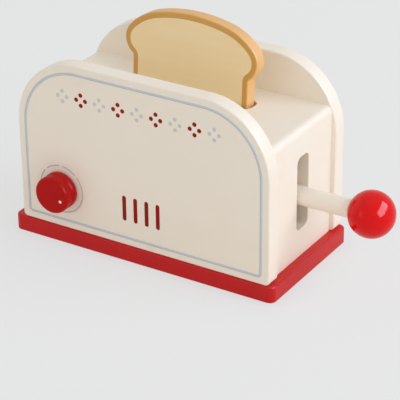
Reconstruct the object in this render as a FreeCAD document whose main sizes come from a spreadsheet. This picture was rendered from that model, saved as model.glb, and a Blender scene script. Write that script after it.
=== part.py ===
import FreeCAD, Part
import math
import os

import Sketcher

# A wooden toy toaster: two round-shouldered end boards on a base, a box between them with two bread
# slots, a platform inside that a side lever lifts, a turned timer knob and one slice of play toast.
# X runs along the front from left to right, Y from front to back and Z up, in millimetres. The
# origin is on the base's underside, below the middle of the box.

DRIVING_SIZES = {
    # Base board
    "base_board": 12.0,
    "base_left_lip": 7.3,
    "base_right_lip": 3.6,
    "base_face_lip": 1.0,
    "base_corner": 5.0,
    "base_edge": 1.1,
    # Front and back panels
    "panel_length": 200.0,
    "panel_height": 124.8,
    "panel_board": 12.0,
    "panel_shoulder": 50.0,
    "panel_foot": 3.5,
    "panel_edge": 1.2,
    # The box between them
    "body_depth": 78.0,
    "side_inset": 3.5,
    "side_board": 12.0,
    "top_board": 12.0,
    "top_drop": 30.0,
    "top_edge": 5.0,
    # Toast slice: a foot with straight sides, a neck and a wider crown of three arcs. It stands off
    # the middle of its slot and leans back, its lean in degrees
    "slice_thickness": 10.5,
    "slice_height": 91.5,
    "slice_foot_width": 92.3,
    "slice_foot_corner": 11.0,
    "slice_neck_radius": 4.3,
    "slice_crown_overhang": 6.5,
    "slice_lobe_radius": 13.9,
    "slice_lobe_drop": 25.5,
    "slice_shoulder_radius": 42.2,
    "slice_shoulder_drop": 44.5,
    "slice_edge": 1.2,
    "slice_lean": 4.0,
    "slice_row": 10.9,
    "slice_shift": 2.0,
    # Bread slots
    "slot_side_gap": 0.4,
    "slot_end_gap": 2.6,
    "slot_corner": 5.0,
    "slot_rim": 0.8,
    # Lever and the upright slot that it runs in
    "lever_slot_sill": 20.0,
    "lever_slot_header": 8.3,
    "lever_slot_gap": 1.25,
    "lever_slot_corner": 4.8,
    "lever_below_middle": 2.9,
    "rod_diameter": 13.0,
    "rod_inner_reach": 60.0,
    "ball_diameter": 32.6,
    "ball_reach": 51.6,
    "ball_bore_depth": 20.0,
    # Lift platform and its cleats
    "lift_board": 12.0,
    "lift_end_gap": 4.0,
    "lift_side_gap": 8.0,
    "lift_corner": 6.0,
    "rod_bed": 4.0,
    "cleat_height": 3.5,
    "cleat_width": 4.0,
    "cleat_gap": 0.5,
    "cleat_end_gap": 1.0,
    "cleat_bevel": 0.8,
    # Guide posts
    "post_diameter": 8.0,
    "post_socket": 6.0,
    "post_end_inset": 10.0,
    "post_side_inset": 9.0,
    # Timer knob
    "knob_end_inset": 34.5,
    "knob_height": 29.8,
    "knob_diameter": 27.0,
    "knob_waist": 23.4,
    "knob_depth": 12.7,
    "knob_flange": 3.2,
    "knob_cove": 4.4,
    "knob_edge": 1.0,
    "knob_face_edge": 2.6,
    "knob_bore_depth": 10.0,
    "axle_diameter": 8.0,
    "washer_diameter": 20.0,
    "washer_thickness": 0.8,
    "retainer_diameter": 20.0,
    "retainer_thickness": 4.5,
    # Screws and dowels
    "screw_diameter": 3.5,
    "screw_head": 7.0,
    "base_screw_length": 30.0,
    "panel_screw_spread": 130.0,
    "lift_screw_length": 20.0,
    "lift_screw_spread": 80.0,
    "lift_screw_sink": 1.0,
    "dowel_diameter": 6.0,
    "dowel_length": 22.0,
    "dowel_in_panel": 8.0,
    "side_dowel_height": 42.0,
    "top_dowel_inset": 4.5,
    # Clearances
    "glue_gap": 0.05,
    "seat_gap": 0.1,
    "running_gap": 0.3,
    "guide_gap": 0.4,
}


class Size:
    """A length kept both as a number and as the spreadsheet expression that gives it."""

    def __init__(self, text, number):
        self.text = text
        self.number = float(number)

    @staticmethod
    def of(other):
        return other if isinstance(other, Size) else Size(repr(float(other)), other)

    def __add__(self, other):
        other = Size.of(other)
        return Size(f"({self.text} + {other.text})", self.number + other.number)

    def __sub__(self, other):
        other = Size.of(other)
        return Size(f"({self.text} - {other.text})", self.number - other.number)

    def __mul__(self, other):
        other = Size.of(other)
        return Size(f"({self.text} * {other.text})", self.number * other.number)

    def __truediv__(self, other):
        other = Size.of(other)
        return Size(f"({self.text} / {other.text})", self.number / other.number)

    def __neg__(self):
        return Size(f"(-{self.text})", -self.number)


def ratio(name, angle):
    """The sin, cos or tan of a size that is an angle in degrees."""
    number = getattr(math, name)(math.radians(angle.number))
    return Size(f"{name}({angle.text} * 1 deg)", number)


class SizeTable:
    """The spreadsheet of driving sizes, each readable as an attribute."""

    def __init__(self, document, sizes):
        sheet = document.addObject("Spreadsheet::Sheet", "Sizes")
        for row, (alias, number) in enumerate(sizes.items(), start=1):
            sheet.set(f"A{row}", alias)
            sheet.set(f"B{row}", str(number))
            sheet.setAlias(f"B{row}", alias)
            setattr(self, alias, Size(f"Sizes.{alias}", number))


DOC = FreeCAD.newDocument("toy_toaster")
SIZE = SizeTable(DOC, DRIVING_SIZES)
DOC.recompute()

ZERO = Size("0", 0.0)

# Levels, from the base's underside up
BASE_TOP = SIZE.base_board
PANEL_TOP = BASE_TOP + SIZE.panel_height
TOP_FACE = PANEL_TOP - SIZE.top_drop
TOP_UNDERSIDE = TOP_FACE - SIZE.top_board
SIDE_HEIGHT = TOP_UNDERSIDE - BASE_TOP

# Faces to the side and to the front
PANEL_HALF = SIZE.panel_length / 2
SIDE_OUTER = PANEL_HALF - SIZE.side_inset
SIDE_INNER = SIDE_OUTER - SIZE.side_board
SIDE_MIDDLE = SIDE_OUTER - SIZE.side_board / 2
BODY_HALF = SIZE.body_depth / 2
PANEL_OUTER = BODY_HALF + SIZE.panel_board
PANEL_MIDDLE = BODY_HALF + SIZE.panel_board / 2

# Lever rod, its slot and the platform that it carries
ROD_RADIUS = SIZE.rod_diameter / 2
LEVER_SLOT_HEIGHT = SIDE_HEIGHT - SIZE.lever_slot_sill - SIZE.lever_slot_header
ROD_Z = BASE_TOP + SIZE.lever_slot_sill + LEVER_SLOT_HEIGHT / 2 - SIZE.lever_below_middle
BALL_X = SIDE_OUTER + SIZE.ball_reach
BALL_RADIUS = SIZE.ball_diameter / 2
ROD_END = BALL_X - BALL_RADIUS + SIZE.ball_bore_depth - SIZE.seat_gap
LIFT_BOTTOM = ROD_Z + ROD_RADIUS - SIZE.rod_bed
LIFT_TOP = LIFT_BOTTOM + SIZE.lift_board
LIFT_HALF = SIDE_INNER - SIZE.lift_end_gap
LIFT_SIDE = BODY_HALF - SIZE.lift_side_gap
POST_X = LIFT_HALF - SIZE.post_end_inset
POST_Y = LIFT_SIDE - SIZE.post_side_inset

# How far the lever goes down to its slot's foot, and up until the cleats reach the top board
LEVER_DROP = LEVER_SLOT_HEIGHT / 2 - SIZE.lever_below_middle - ROD_RADIUS - SIZE.running_gap
LEVER_LIFT = TOP_UNDERSIDE - LIFT_TOP - SIZE.cleat_height - SIZE.running_gap

# A leaning slice: how far it goes back as it rises by 1, half its level section, and its foot's edge
LEAN_RUN = ratio("tan", SIZE.slice_lean)
SLICE_HALF = SIZE.slice_thickness / 2 / ratio("cos", SIZE.slice_lean)
SLICE_BOTTOM = LIFT_TOP + SIZE.slice_thickness / 2 * ratio("sin", SIZE.slice_lean) + SIZE.seat_gap

# Bread slots, wide enough for the leaning slice over the lever's whole travel
SLOT_FRONT = (SIZE.slice_row + (TOP_UNDERSIDE - LEVER_LIFT - SLICE_BOTTOM) * LEAN_RUN
              - SLICE_HALF - SIZE.slot_side_gap)
SLOT_BACK = (SIZE.slice_row + (TOP_FACE + LEVER_DROP - SLICE_BOTTOM) * LEAN_RUN
             + SLICE_HALF + SIZE.slot_side_gap)
SLOT_HALF = SIZE.slice_foot_width / 2 + SIZE.slice_shift + SIZE.slot_end_gap

# Timer knob, centred on its axle
KNOB_X = -(PANEL_HALF - SIZE.knob_end_inset)
KNOB_Z = BASE_TOP + SIZE.knob_height
KNOB_BACK = SIZE.washer_thickness + SIZE.running_gap / 2
AXLE_OUTER = KNOB_BACK + SIZE.knob_bore_depth - SIZE.seat_gap
RETAINER_INNER = SIZE.panel_board + SIZE.running_gap
AXLE_INNER = RETAINER_INNER + SIZE.retainer_thickness

SUBPARTS = []


def bind(feature, prop, size):
    """Tie one property of a document object to a size."""
    feature.setExpression(prop, size.text)


def place(obj, x=ZERO, y=ZERO, z=ZERO, turn=None):
    """Put an object where the sizes say, turned by a fixed rotation."""
    if turn:
        obj.Placement = FreeCAD.Placement(FreeCAD.Vector(), turn)
    for axis, size in (("x", x), ("y", y), ("z", z)):
        bind(obj, f".Placement.Base.{axis}", size)


def new_body(label):
    """Start a sub-part whose label is also its file's name."""
    body = DOC.addObject("PartDesign::Body", label)
    body.Label = label
    SUBPARTS.append(body)
    return body


def origin_plane(body, role):
    return next(item for item in body.Origin.OriginFeatures if item.Role == role)


class Profile:
    """A sketch on one of a body's origin planes, every vertex and radius tied to a size."""

    def __init__(self, body, plane, name, offset=ZERO):
        self.sketch = body.newObject("Sketcher::SketchObject", f"{body.Label}_{name}")
        self.sketch.AttachmentSupport = (origin_plane(body, plane), [""])
        self.sketch.MapMode = "FlatFace"
        self.sketch.AttachmentOffset = FreeCAD.Placement()
        bind(self.sketch, ".AttachmentOffset.Base.z", offset)

    def limit(self, kind, size, *places):
        """Add one dimension and tie it to its size."""
        index = self.sketch.addConstraint(Sketcher.Constraint(kind, *places, size.number))
        self.sketch.renameConstraint(index, f"size_{index}")
        bind(self.sketch, f"Constraints.size_{index}", size)

    def pin(self, edge, end, u, v):
        """Hold one end (1, 2) or centre (3) of an edge at a point."""
        self.limit("DistanceX", u, -1, 1, edge, end)
        self.limit("DistanceY", v, -1, 1, edge, end)

    def join(self, edges):
        """Close a loop of edges."""
        for position, edge in enumerate(edges):
            after = edges[(position + 1) % len(edges)]
            self.sketch.addConstraint(Sketcher.Constraint("Coincident", edge, 2, after, 1))

    def line(self, start, end):
        segment = Part.LineSegment(FreeCAD.Vector(*start, 0), FreeCAD.Vector(*end, 0))
        return self.sketch.addGeometry(segment)

    def polygon(self, corners):
        """A closed outline of straight edges through the given (u, v) sizes."""
        points = [(u.number, v.number) for u, v in corners]
        edges = [self.line(point, points[(i + 1) % len(points)]) for i, point in enumerate(points)]
        self.join(edges)
        for edge, (u, v) in zip(edges, corners):
            self.pin(edge, 1, u, v)
        return self

    def rectangle(self, u_low, u_high, v_low, v_high):
        return self.polygon([(u_low, v_low), (u_high, v_low), (u_high, v_high), (u_low, v_high)])

    def circle(self, u, v, radius):
        centre = FreeCAD.Vector(u.number, v.number, 0)
        edge = self.sketch.addGeometry(Part.Circle(centre, FreeCAD.Vector(0, 0, 1), radius.number))
        self.pin(edge, 3, u, v)
        self.limit("Radius", radius, edge)
        return self

    def arc(self, centre, radius, start, end):
        """An arc from start to end, as angles in radians, counter-clockwise."""
        ring = Part.Circle(FreeCAD.Vector(*centre, 0), FreeCAD.Vector(0, 0, 1), radius)
        return self.sketch.addGeometry(Part.ArcOfCircle(ring, start, end))


def feature(body, kind, name, profile=None, **sizes):
    """Add a PartDesign feature to a body and tie its sizes."""
    made = body.newObject(f"PartDesign::{kind}", f"{body.Label}_{name}")
    if profile:
        made.Profile = profile.sketch
    for prop, size in sizes.items():
        bind(made, prop, size)
    return made


def pad(body, profile, name, length, backwards=False):
    made = feature(body, "Pad", name, profile, Length=length)
    made.Reversed = backwards
    DOC.recompute()
    return made


def pocket(body, profile, name, depth, backwards=False):
    """Cut a profile into a body; by itself a pocket cuts against its sketch's normal."""
    before = body.Shape.Volume
    made = feature(body, "Pocket", name, profile, Length=depth)
    made.Reversed = backwards
    DOC.recompute()
    if body.Shape.Volume > before - 0.1:
        raise ValueError(f"{made.Label} cuts nothing")
    return made


def countersunk_holes(body, profile, name, depth, mouth):
    """Screw holes that open downwards, each with a cone for the screw's head."""
    DOC.recompute()
    before = body.Shape.Volume
    made = feature(body, "Hole", name, profile)
    DOC.recompute()
    made.Threaded = False
    made.ThreadType = "None"
    made.DepthType = "Dimension"
    made.HoleCutType = "Countersink"
    made.DrillPoint = "Flat"
    made.Reversed = True
    bind(made, "Diameter", SIZE.screw_diameter + SIZE.glue_gap * 2)
    bind(made, "Depth", depth)
    bind(made, "HoleCutDiameter", mouth)
    made.HoleCutCountersinkAngle = 90
    DOC.recompute()
    if body.Shape.Volume > before - 0.1:
        raise ValueError(f"{made.Label} cuts nothing")


def revolve(body, profile, name, axis="V_Axis"):
    made = feature(body, "Revolution", name, profile)
    made.ReferenceAxis = (profile.sketch, [axis])
    made.Angle = 360
    DOC.recompute()
    return made


def edges_where(body, test):
    """Names of the edges of a body's last shape that pass a test."""
    return [f"Edge{i}" for i, edge in enumerate(body.Shape.Edges, start=1) if test(edge)]


def dress(body, kind, name, prop, size, test):
    """Round or bevel the edges that pass a test."""
    names = edges_where(body, test)
    if not names:
        raise ValueError(f"{body.Label}: no edge for {name}")
    made = body.newObject(f"PartDesign::{kind}", f"{body.Label}_{name}")
    made.Base = (made.BaseFeature, names)
    bind(made, prop, size)
    DOC.recompute()
    return made


def fillet(body, name, radius, test):
    return dress(body, "Fillet", name, "Radius", radius, test)


def chamfer(body, name, size, test):
    return dress(body, "Chamfer", name, "Size", size, test)


def near(first, second):
    return abs(first - second) < 0.01


def along(edge, axis):
    """Whether an edge is straight and runs along X, Y or Z."""
    if not isinstance(edge.Curve, Part.Line):
        return False
    return near(abs(getattr(edge.Curve.Direction, axis)), 1)


def flat_at(edge, axis, level):
    """Whether a whole edge lies at one level of X, Y or Z."""
    box = edge.BoundBox
    low = getattr(box, f"{axis.upper()}Min")
    high = getattr(box, f"{axis.upper()}Max")
    return near(low, level) and near(high, level)


def four(u, v):
    """The four places at (+-u, +-v)."""
    return [(u, v), (-u, v), (-u, -v), (u, -v)]


def base_plate():
    body = new_body("base_plate")
    left = -PANEL_HALF - SIZE.base_left_lip
    right = PANEL_HALF + SIZE.base_right_lip
    half_depth = PANEL_OUTER + SIZE.base_face_lip
    outline = Profile(body, "XY_Plane", "outline")
    outline.rectangle(left, right, -half_depth, half_depth)
    pad(body, outline, "board", SIZE.base_board)
    fillet(body, "corners", SIZE.base_corner, lambda edge: along(edge, "z"))
    top = BASE_TOP.number
    chamfer(body, "top_edge", SIZE.base_edge, lambda edge: flat_at(edge, "z", top))
    sockets = Profile(body, "XY_Plane", "sockets", BASE_TOP)
    for x, y in GUIDE_POSTS.values():
        sockets.circle(x, y, SIZE.post_diameter / 2 + SIZE.glue_gap)
    pocket(body, sockets, "post_sockets", SIZE.post_socket + SIZE.seat_gap)
    screws = Profile(body, "XY_Plane", "screws")
    for x, y in BASE_SCREWS:
        screws.circle(x, y, SIZE.screw_diameter / 2)
    mouth = SIZE.screw_head + SIZE.seat_gap * 2 + SIZE.glue_gap * 2
    countersunk_holes(body, screws, "screw_holes", SIZE.base_board, mouth)


def end_panel(label):
    """A round-shouldered board, drawn with its inner face on the body's XZ plane."""
    body = new_body(label)
    outline = Profile(body, "XZ_Plane", "outline")
    outline.rectangle(-PANEL_HALF, PANEL_HALF, ZERO, SIZE.panel_height)
    pad(body, outline, "board", SIZE.panel_board)
    height = SIZE.panel_height.number
    thickness = SIZE.panel_board.number
    fillet(body, "shoulders", SIZE.panel_shoulder,
           lambda edge: along(edge, "y") and near(edge.BoundBox.ZMin, height))
    fillet(body, "feet", SIZE.panel_foot,
           lambda edge: along(edge, "y") and near(edge.BoundBox.ZMin, 0))
    chamfer(body, "face_edges", SIZE.panel_edge,
            lambda edge: flat_at(edge, "y", 0) or flat_at(edge, "y", -thickness))
    dowels = Profile(body, "XZ_Plane", "dowels")
    radius = SIZE.dowel_diameter / 2 + SIZE.glue_gap
    for side in (-1, 1):
        dowels.circle(SIDE_MIDDLE * side, SIZE.side_dowel_height, radius)
        dowels.circle(TOP_DOWEL_X * side, TOP_DOWEL_Z - BASE_TOP, radius)
    pocket(body, dowels, "dowel_bores", SIZE.dowel_in_panel + SIZE.seat_gap, backwards=True)
    pilots = Profile(body, "XY_Plane", "pilots")
    for x in (-PANEL_SCREW_X, PANEL_SCREW_X):
        pilots.circle(x, -(SIZE.panel_board / 2), SIZE.screw_diameter / 2 + SIZE.glue_gap)
    pocket(body, pilots, "screw_pilots", SCREW_PILOT_DEPTH, backwards=True)
    return body


def front_panel():
    body = end_panel("front_panel")
    bore = Profile(body, "XZ_Plane", "axle")
    bore.circle(KNOB_X, SIZE.knob_height, SIZE.axle_diameter / 2 + SIZE.running_gap)
    pocket(body, bore, "axle_bore", SIZE.panel_board, backwards=True)
    place(body, y=-BODY_HALF, z=BASE_TOP)


def back_panel():
    body = end_panel("back_panel")
    about_z = FreeCAD.Rotation(FreeCAD.Vector(0, 0, 1), 180)
    place(body, y=BODY_HALF, z=BASE_TOP, turn=about_z)


def end_dowel_bores(body, places, height):
    """Dowel bores in the front and back ends of a board that lies between the end panels."""
    depth = SIZE.dowel_length - SIZE.dowel_in_panel + SIZE.seat_gap
    for end, offset, backwards in (("front", BODY_HALF, False), ("back", -BODY_HALF, True)):
        bores = Profile(body, "XZ_Plane", f"{end}_dowels", offset)
        for x in places:
            bores.circle(x, height, SIZE.dowel_diameter / 2 + SIZE.glue_gap)
        pocket(body, bores, f"{end}_dowel_bores", depth, backwards)


def side_panel(label, x):
    """A side board, drawn across Y and Z and padded towards +X."""
    body = new_body(label)
    outline = Profile(body, "YZ_Plane", "outline")
    outline.rectangle(-BODY_HALF, BODY_HALF, ZERO, SIDE_HEIGHT)
    pad(body, outline, "board", SIZE.side_board)
    end_dowel_bores(body, [SIZE.side_board / 2], SIZE.side_dowel_height)
    place(body, x=x, z=BASE_TOP)
    return body


def right_side_panel():
    body = side_panel("right_side_panel", SIDE_INNER)
    slot = Profile(body, "YZ_Plane", "lever_slot")
    half = ROD_RADIUS + SIZE.lever_slot_gap
    slot.rectangle(-half, half, SIZE.lever_slot_sill, SIZE.lever_slot_sill + LEVER_SLOT_HEIGHT)
    pocket(body, slot, "lever_slot_cut", SIZE.side_board, backwards=True)
    fillet(body, "lever_slot_corners", SIZE.lever_slot_corner,
           lambda edge: along(edge, "x") and near(abs(edge.CenterOfMass.y), half.number))


def top_panel():
    body = new_body("top_panel")
    outline = Profile(body, "XY_Plane", "outline")
    outline.rectangle(-SIDE_OUTER, SIDE_OUTER, -BODY_HALF, BODY_HALF)
    pad(body, outline, "board", SIZE.top_board)
    thickness = SIZE.top_board.number
    fillet(body, "long_edges", SIZE.top_edge,
           lambda edge: along(edge, "y") and near(edge.BoundBox.ZMin, thickness))
    slots = Profile(body, "XY_Plane", "bread_slots")
    slots.rectangle(-SLOT_HALF, SLOT_HALF, SLOT_FRONT, SLOT_BACK)
    slots.rectangle(-SLOT_HALF, SLOT_HALF, -SLOT_BACK, -SLOT_FRONT)
    pocket(body, slots, "bread_slot_cuts", SIZE.top_board, backwards=True)
    fillet(body, "slot_corners", SIZE.slot_corner,
           lambda edge: along(edge, "z") and abs(edge.CenterOfMass.y) < BODY_HALF.number - 1)
    inside = SLOT_HALF.number + 0.1
    chamfer(body, "slot_rims", SIZE.slot_rim,
            lambda edge: flat_at(edge, "z", thickness) and abs(edge.CenterOfMass.x) < inside
            and abs(edge.CenterOfMass.y) < BODY_HALF.number - 1)
    sockets = Profile(body, "XY_Plane", "sockets")
    for x, y in GUIDE_POSTS.values():
        sockets.circle(x, y, SIZE.post_diameter / 2 + SIZE.glue_gap)
    pocket(body, sockets, "post_sockets", SIZE.post_socket + SIZE.seat_gap, backwards=True)
    end_dowel_bores(body, [-TOP_DOWEL_X, TOP_DOWEL_X], SIZE.top_board / 2)
    place(body, z=TOP_UNDERSIDE)


def round_bar(body, plane, radius, length):
    """A round bar that starts on one origin plane of its body."""
    section = Profile(body, plane, "section").circle(ZERO, ZERO, radius)
    pad(body, section, "bar", length)


def guide_post(label, x, y):
    body = new_body(label)
    length = TOP_UNDERSIDE - BASE_TOP + SIZE.post_socket * 2
    round_bar(body, "XY_Plane", SIZE.post_diameter / 2, length)
    place(body, x=x, y=y, z=BASE_TOP - SIZE.post_socket)


def copies(label, pattern, places):
    """One sub-part made of linked copies of a pattern body, each at its own place."""
    links = []
    for number, (x, y, z, turn) in enumerate(places, start=1):
        link = DOC.addObject("App::Link", f"{label}_{number}")
        link.LinkedObject = pattern
        link.LinkTransform = False
        place(link, x, y, z, turn)
        links.append(link)
    group = DOC.addObject("Part::Compound", label)
    group.Label = label
    group.Links = links
    SUBPARTS.append(group)
    DOC.recompute()


def dowel_pattern():
    """A joining dowel along +Y that starts at its end inside a front or back panel."""
    body = DOC.addObject("PartDesign::Body", "dowel_pattern")
    round_bar(body, "XZ_Plane", SIZE.dowel_diameter / 2, SIZE.dowel_length)
    return body


def dowels():
    pattern = dowel_pattern()
    outer = BODY_HALF + SIZE.dowel_in_panel
    turned = FreeCAD.Rotation(FreeCAD.Vector(0, 0, 1), 180)
    rows = ((-outer, turned), (outer, None))
    for label, reach, height in (("side_dowels", SIDE_MIDDLE, BASE_TOP + SIZE.side_dowel_height),
                                 ("top_dowels", TOP_DOWEL_X, TOP_DOWEL_Z)):
        copies(label, pattern, [(x, y, height, turn) for y, turn in rows for x in (-reach, reach)])


def screw_pattern(label, length):
    """A countersunk wood screw that points up, its head's flat face on the XY plane."""
    body = DOC.addObject("PartDesign::Body", label)
    head = SIZE.screw_head / 2
    shank = SIZE.screw_diameter / 2
    profile = Profile(body, "XZ_Plane", "profile")
    profile.polygon([(ZERO, ZERO), (head, ZERO), (shank, head - shank), (shank, length),
                     (ZERO, length)])
    revolve(body, profile, "turned")
    return body


def screws():
    base_pattern = screw_pattern("base_screw_pattern", SIZE.base_screw_length)
    copies("base_screws", base_pattern, [(x, y, SIZE.seat_gap, None) for x, y in BASE_SCREWS])
    lift_pattern = screw_pattern("lift_screw_pattern", SIZE.lift_screw_length)
    height = ROD_Z - ROD_RADIUS + SIZE.lift_screw_sink
    copies("lift_screws", lift_pattern, [(x, ZERO, height, None) for x in LIFT_SCREW_XS])


def timer_knob():
    """A knob turned about Y: back flange, cove and front disc, bored from behind for its axle."""
    body = new_body("timer_knob")
    radius = SIZE.knob_diameter / 2
    waist = SIZE.knob_waist / 2
    cove_back = KNOB_BACK + SIZE.knob_flange
    cove_front = cove_back + SIZE.knob_cove
    front = KNOB_BACK + SIZE.knob_depth
    profile = Profile(body, "XY_Plane", "profile")
    profile.polygon([(ZERO, -KNOB_BACK), (radius, -KNOB_BACK), (radius, -cove_back),
                     (waist, -(cove_back + cove_front) / 2), (radius, -cove_front),
                     (radius, -front), (ZERO, -front)])
    revolve(body, profile, "turned")

    def rim_at(edge, *levels):
        """Whether an edge is the knob's full round at one of some levels."""
        return (isinstance(edge.Curve, Part.Circle) and near(edge.Curve.Radius, radius.number)
                and any(flat_at(edge, "y", -level.number) for level in levels))

    chamfer(body, "rims", SIZE.knob_edge, lambda edge: rim_at(edge, cove_back, cove_front))
    fillet(body, "face_edge", SIZE.knob_face_edge, lambda edge: rim_at(edge, front))
    bore = Profile(body, "XZ_Plane", "bore", KNOB_BACK)
    bore.circle(ZERO, ZERO, SIZE.axle_diameter / 2 + SIZE.glue_gap)
    pocket(body, bore, "axle_bore", SIZE.knob_bore_depth, backwards=True)
    place(body, x=KNOB_X, y=-PANEL_OUTER, z=KNOB_Z)


def knob_axle():
    body = new_body("knob_axle")
    length = AXLE_OUTER + AXLE_INNER
    round_bar(body, "XZ_Plane", SIZE.axle_diameter / 2, length)
    place(body, x=KNOB_X, y=AXLE_INNER - PANEL_OUTER, z=KNOB_Z)


def disc(label, diameter, bore_gap, thickness, y):
    """A bored disc on the knob's axle that reaches from y towards the front."""
    body = new_body(label)
    section = Profile(body, "XZ_Plane", "section")
    section.circle(ZERO, ZERO, diameter / 2)
    section.circle(ZERO, ZERO, SIZE.axle_diameter / 2 + bore_gap)
    pad(body, section, "ring", thickness)
    place(body, x=KNOB_X, y=y, z=KNOB_Z)


def knob_discs():
    disc("knob_washer", SIZE.washer_diameter, SIZE.running_gap, SIZE.washer_thickness, -PANEL_OUTER)
    disc("knob_retainer", SIZE.retainer_diameter, SIZE.glue_gap, SIZE.retainer_thickness,
         AXLE_INNER - PANEL_OUTER)


def lever_rod():
    body = new_body("lever_rod")
    length = SIZE.rod_inner_reach + ROD_END
    round_bar(body, "YZ_Plane", ROD_RADIUS, length)
    holes = Profile(body, "XY_Plane", "screws", -ROD_RADIUS)
    for x in LIFT_SCREW_XS:
        holes.circle(x + SIZE.rod_inner_reach, ZERO, SIZE.screw_diameter / 2)
    mouth = SIZE.screw_head + SIZE.lift_screw_sink * 2 + SIZE.glue_gap * 2
    countersunk_holes(body, holes, "screw_holes", SIZE.rod_diameter, mouth)
    place(body, x=-SIZE.rod_inner_reach, z=ROD_Z)


def lever_ball():
    """A ball about its own centre, bored from the toaster's side for the rod."""
    body = new_body("lever_ball")
    profile = Profile(body, "XY_Plane", "profile")
    radius = BALL_RADIUS.number
    arc = profile.arc((0, 0), radius, 0, math.pi)
    chord = profile.line((-radius, 0), (radius, 0))
    profile.join([arc, chord])
    profile.pin(arc, 3, ZERO, ZERO)
    profile.limit("Radius", BALL_RADIUS, arc)
    for end in (1, 2):
        profile.sketch.addConstraint(Sketcher.Constraint("PointOnObject", arc, end, -1))
    revolve(body, profile, "turned", "H_Axis")
    bore = Profile(body, "YZ_Plane", "bore", -BALL_RADIUS)
    bore.circle(ZERO, ZERO, ROD_RADIUS + SIZE.glue_gap)
    pocket(body, bore, "rod_bore", SIZE.ball_bore_depth, backwards=True)
    place(body, x=BALL_X, z=ROD_Z)


def lift_platform():
    """The board that the slices stand on, bedded on the rod and free to slide on both posts."""
    body = new_body("lift_platform")
    outline = Profile(body, "XY_Plane", "outline")
    outline.rectangle(-LIFT_HALF, LIFT_HALF, -LIFT_SIDE, LIFT_SIDE)
    pad(body, outline, "board", SIZE.lift_board)
    fillet(body, "corners", SIZE.lift_corner, lambda edge: along(edge, "z"))
    bed = Profile(body, "YZ_Plane", "bed", -SIZE.rod_inner_reach - SIZE.seat_gap)
    bed.circle(ZERO, SIZE.rod_bed - ROD_RADIUS, ROD_RADIUS + SIZE.glue_gap)
    pocket(body, bed, "rod_groove", SIZE.rod_inner_reach + SIZE.panel_length, backwards=True)
    holes = Profile(body, "XY_Plane", "posts")
    for x, y in GUIDE_POSTS.values():
        holes.circle(x, y, SIZE.post_diameter / 2 + SIZE.guide_gap)
    pocket(body, holes, "post_holes", SIZE.lift_board, backwards=True)
    pilots = Profile(body, "XY_Plane", "pilots")
    for x in LIFT_SCREW_XS:
        pilots.circle(x, ZERO, SIZE.screw_diameter / 2 + SIZE.glue_gap)
    reach = SIZE.lift_screw_length + SIZE.lift_screw_sink + SIZE.seat_gap
    pocket(body, pilots, "screw_pilots", reach - SIZE.rod_diameter + SIZE.rod_bed, backwards=True)
    place(body, z=LIFT_BOTTOM)


def cleats():
    """Strips on the platform: one between the slices' feet and one outside each."""
    reach = SLICE_HALF + SIZE.cleat_height * LEAN_RUN + SIZE.cleat_gap
    inner = SIZE.slice_row - reach
    outer = SIZE.slice_row + reach
    half = SLOT_HALF - SIZE.cleat_end_gap
    height = SIZE.cleat_height.number
    middle = new_body("center_cleat")
    section = Profile(middle, "XY_Plane", "outline").rectangle(-half, half, -inner, inner)
    pad(middle, section, "strip", SIZE.cleat_height)
    chamfer(middle, "bevel", SIZE.cleat_bevel, lambda edge: flat_at(edge, "z", height))
    place(middle, z=LIFT_TOP)
    pair = new_body("outer_cleats")
    pair.AllowCompound = True
    section = Profile(pair, "XY_Plane", "outline")
    section.rectangle(-half, half, outer, outer + SIZE.cleat_width)
    section.rectangle(-half, half, -outer - SIZE.cleat_width, -outer)
    pad(pair, section, "strips", SIZE.cleat_height)
    chamfer(pair, "bevel", SIZE.cleat_bevel, lambda edge: flat_at(edge, "z", height))
    place(pair, z=LIFT_TOP)


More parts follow.
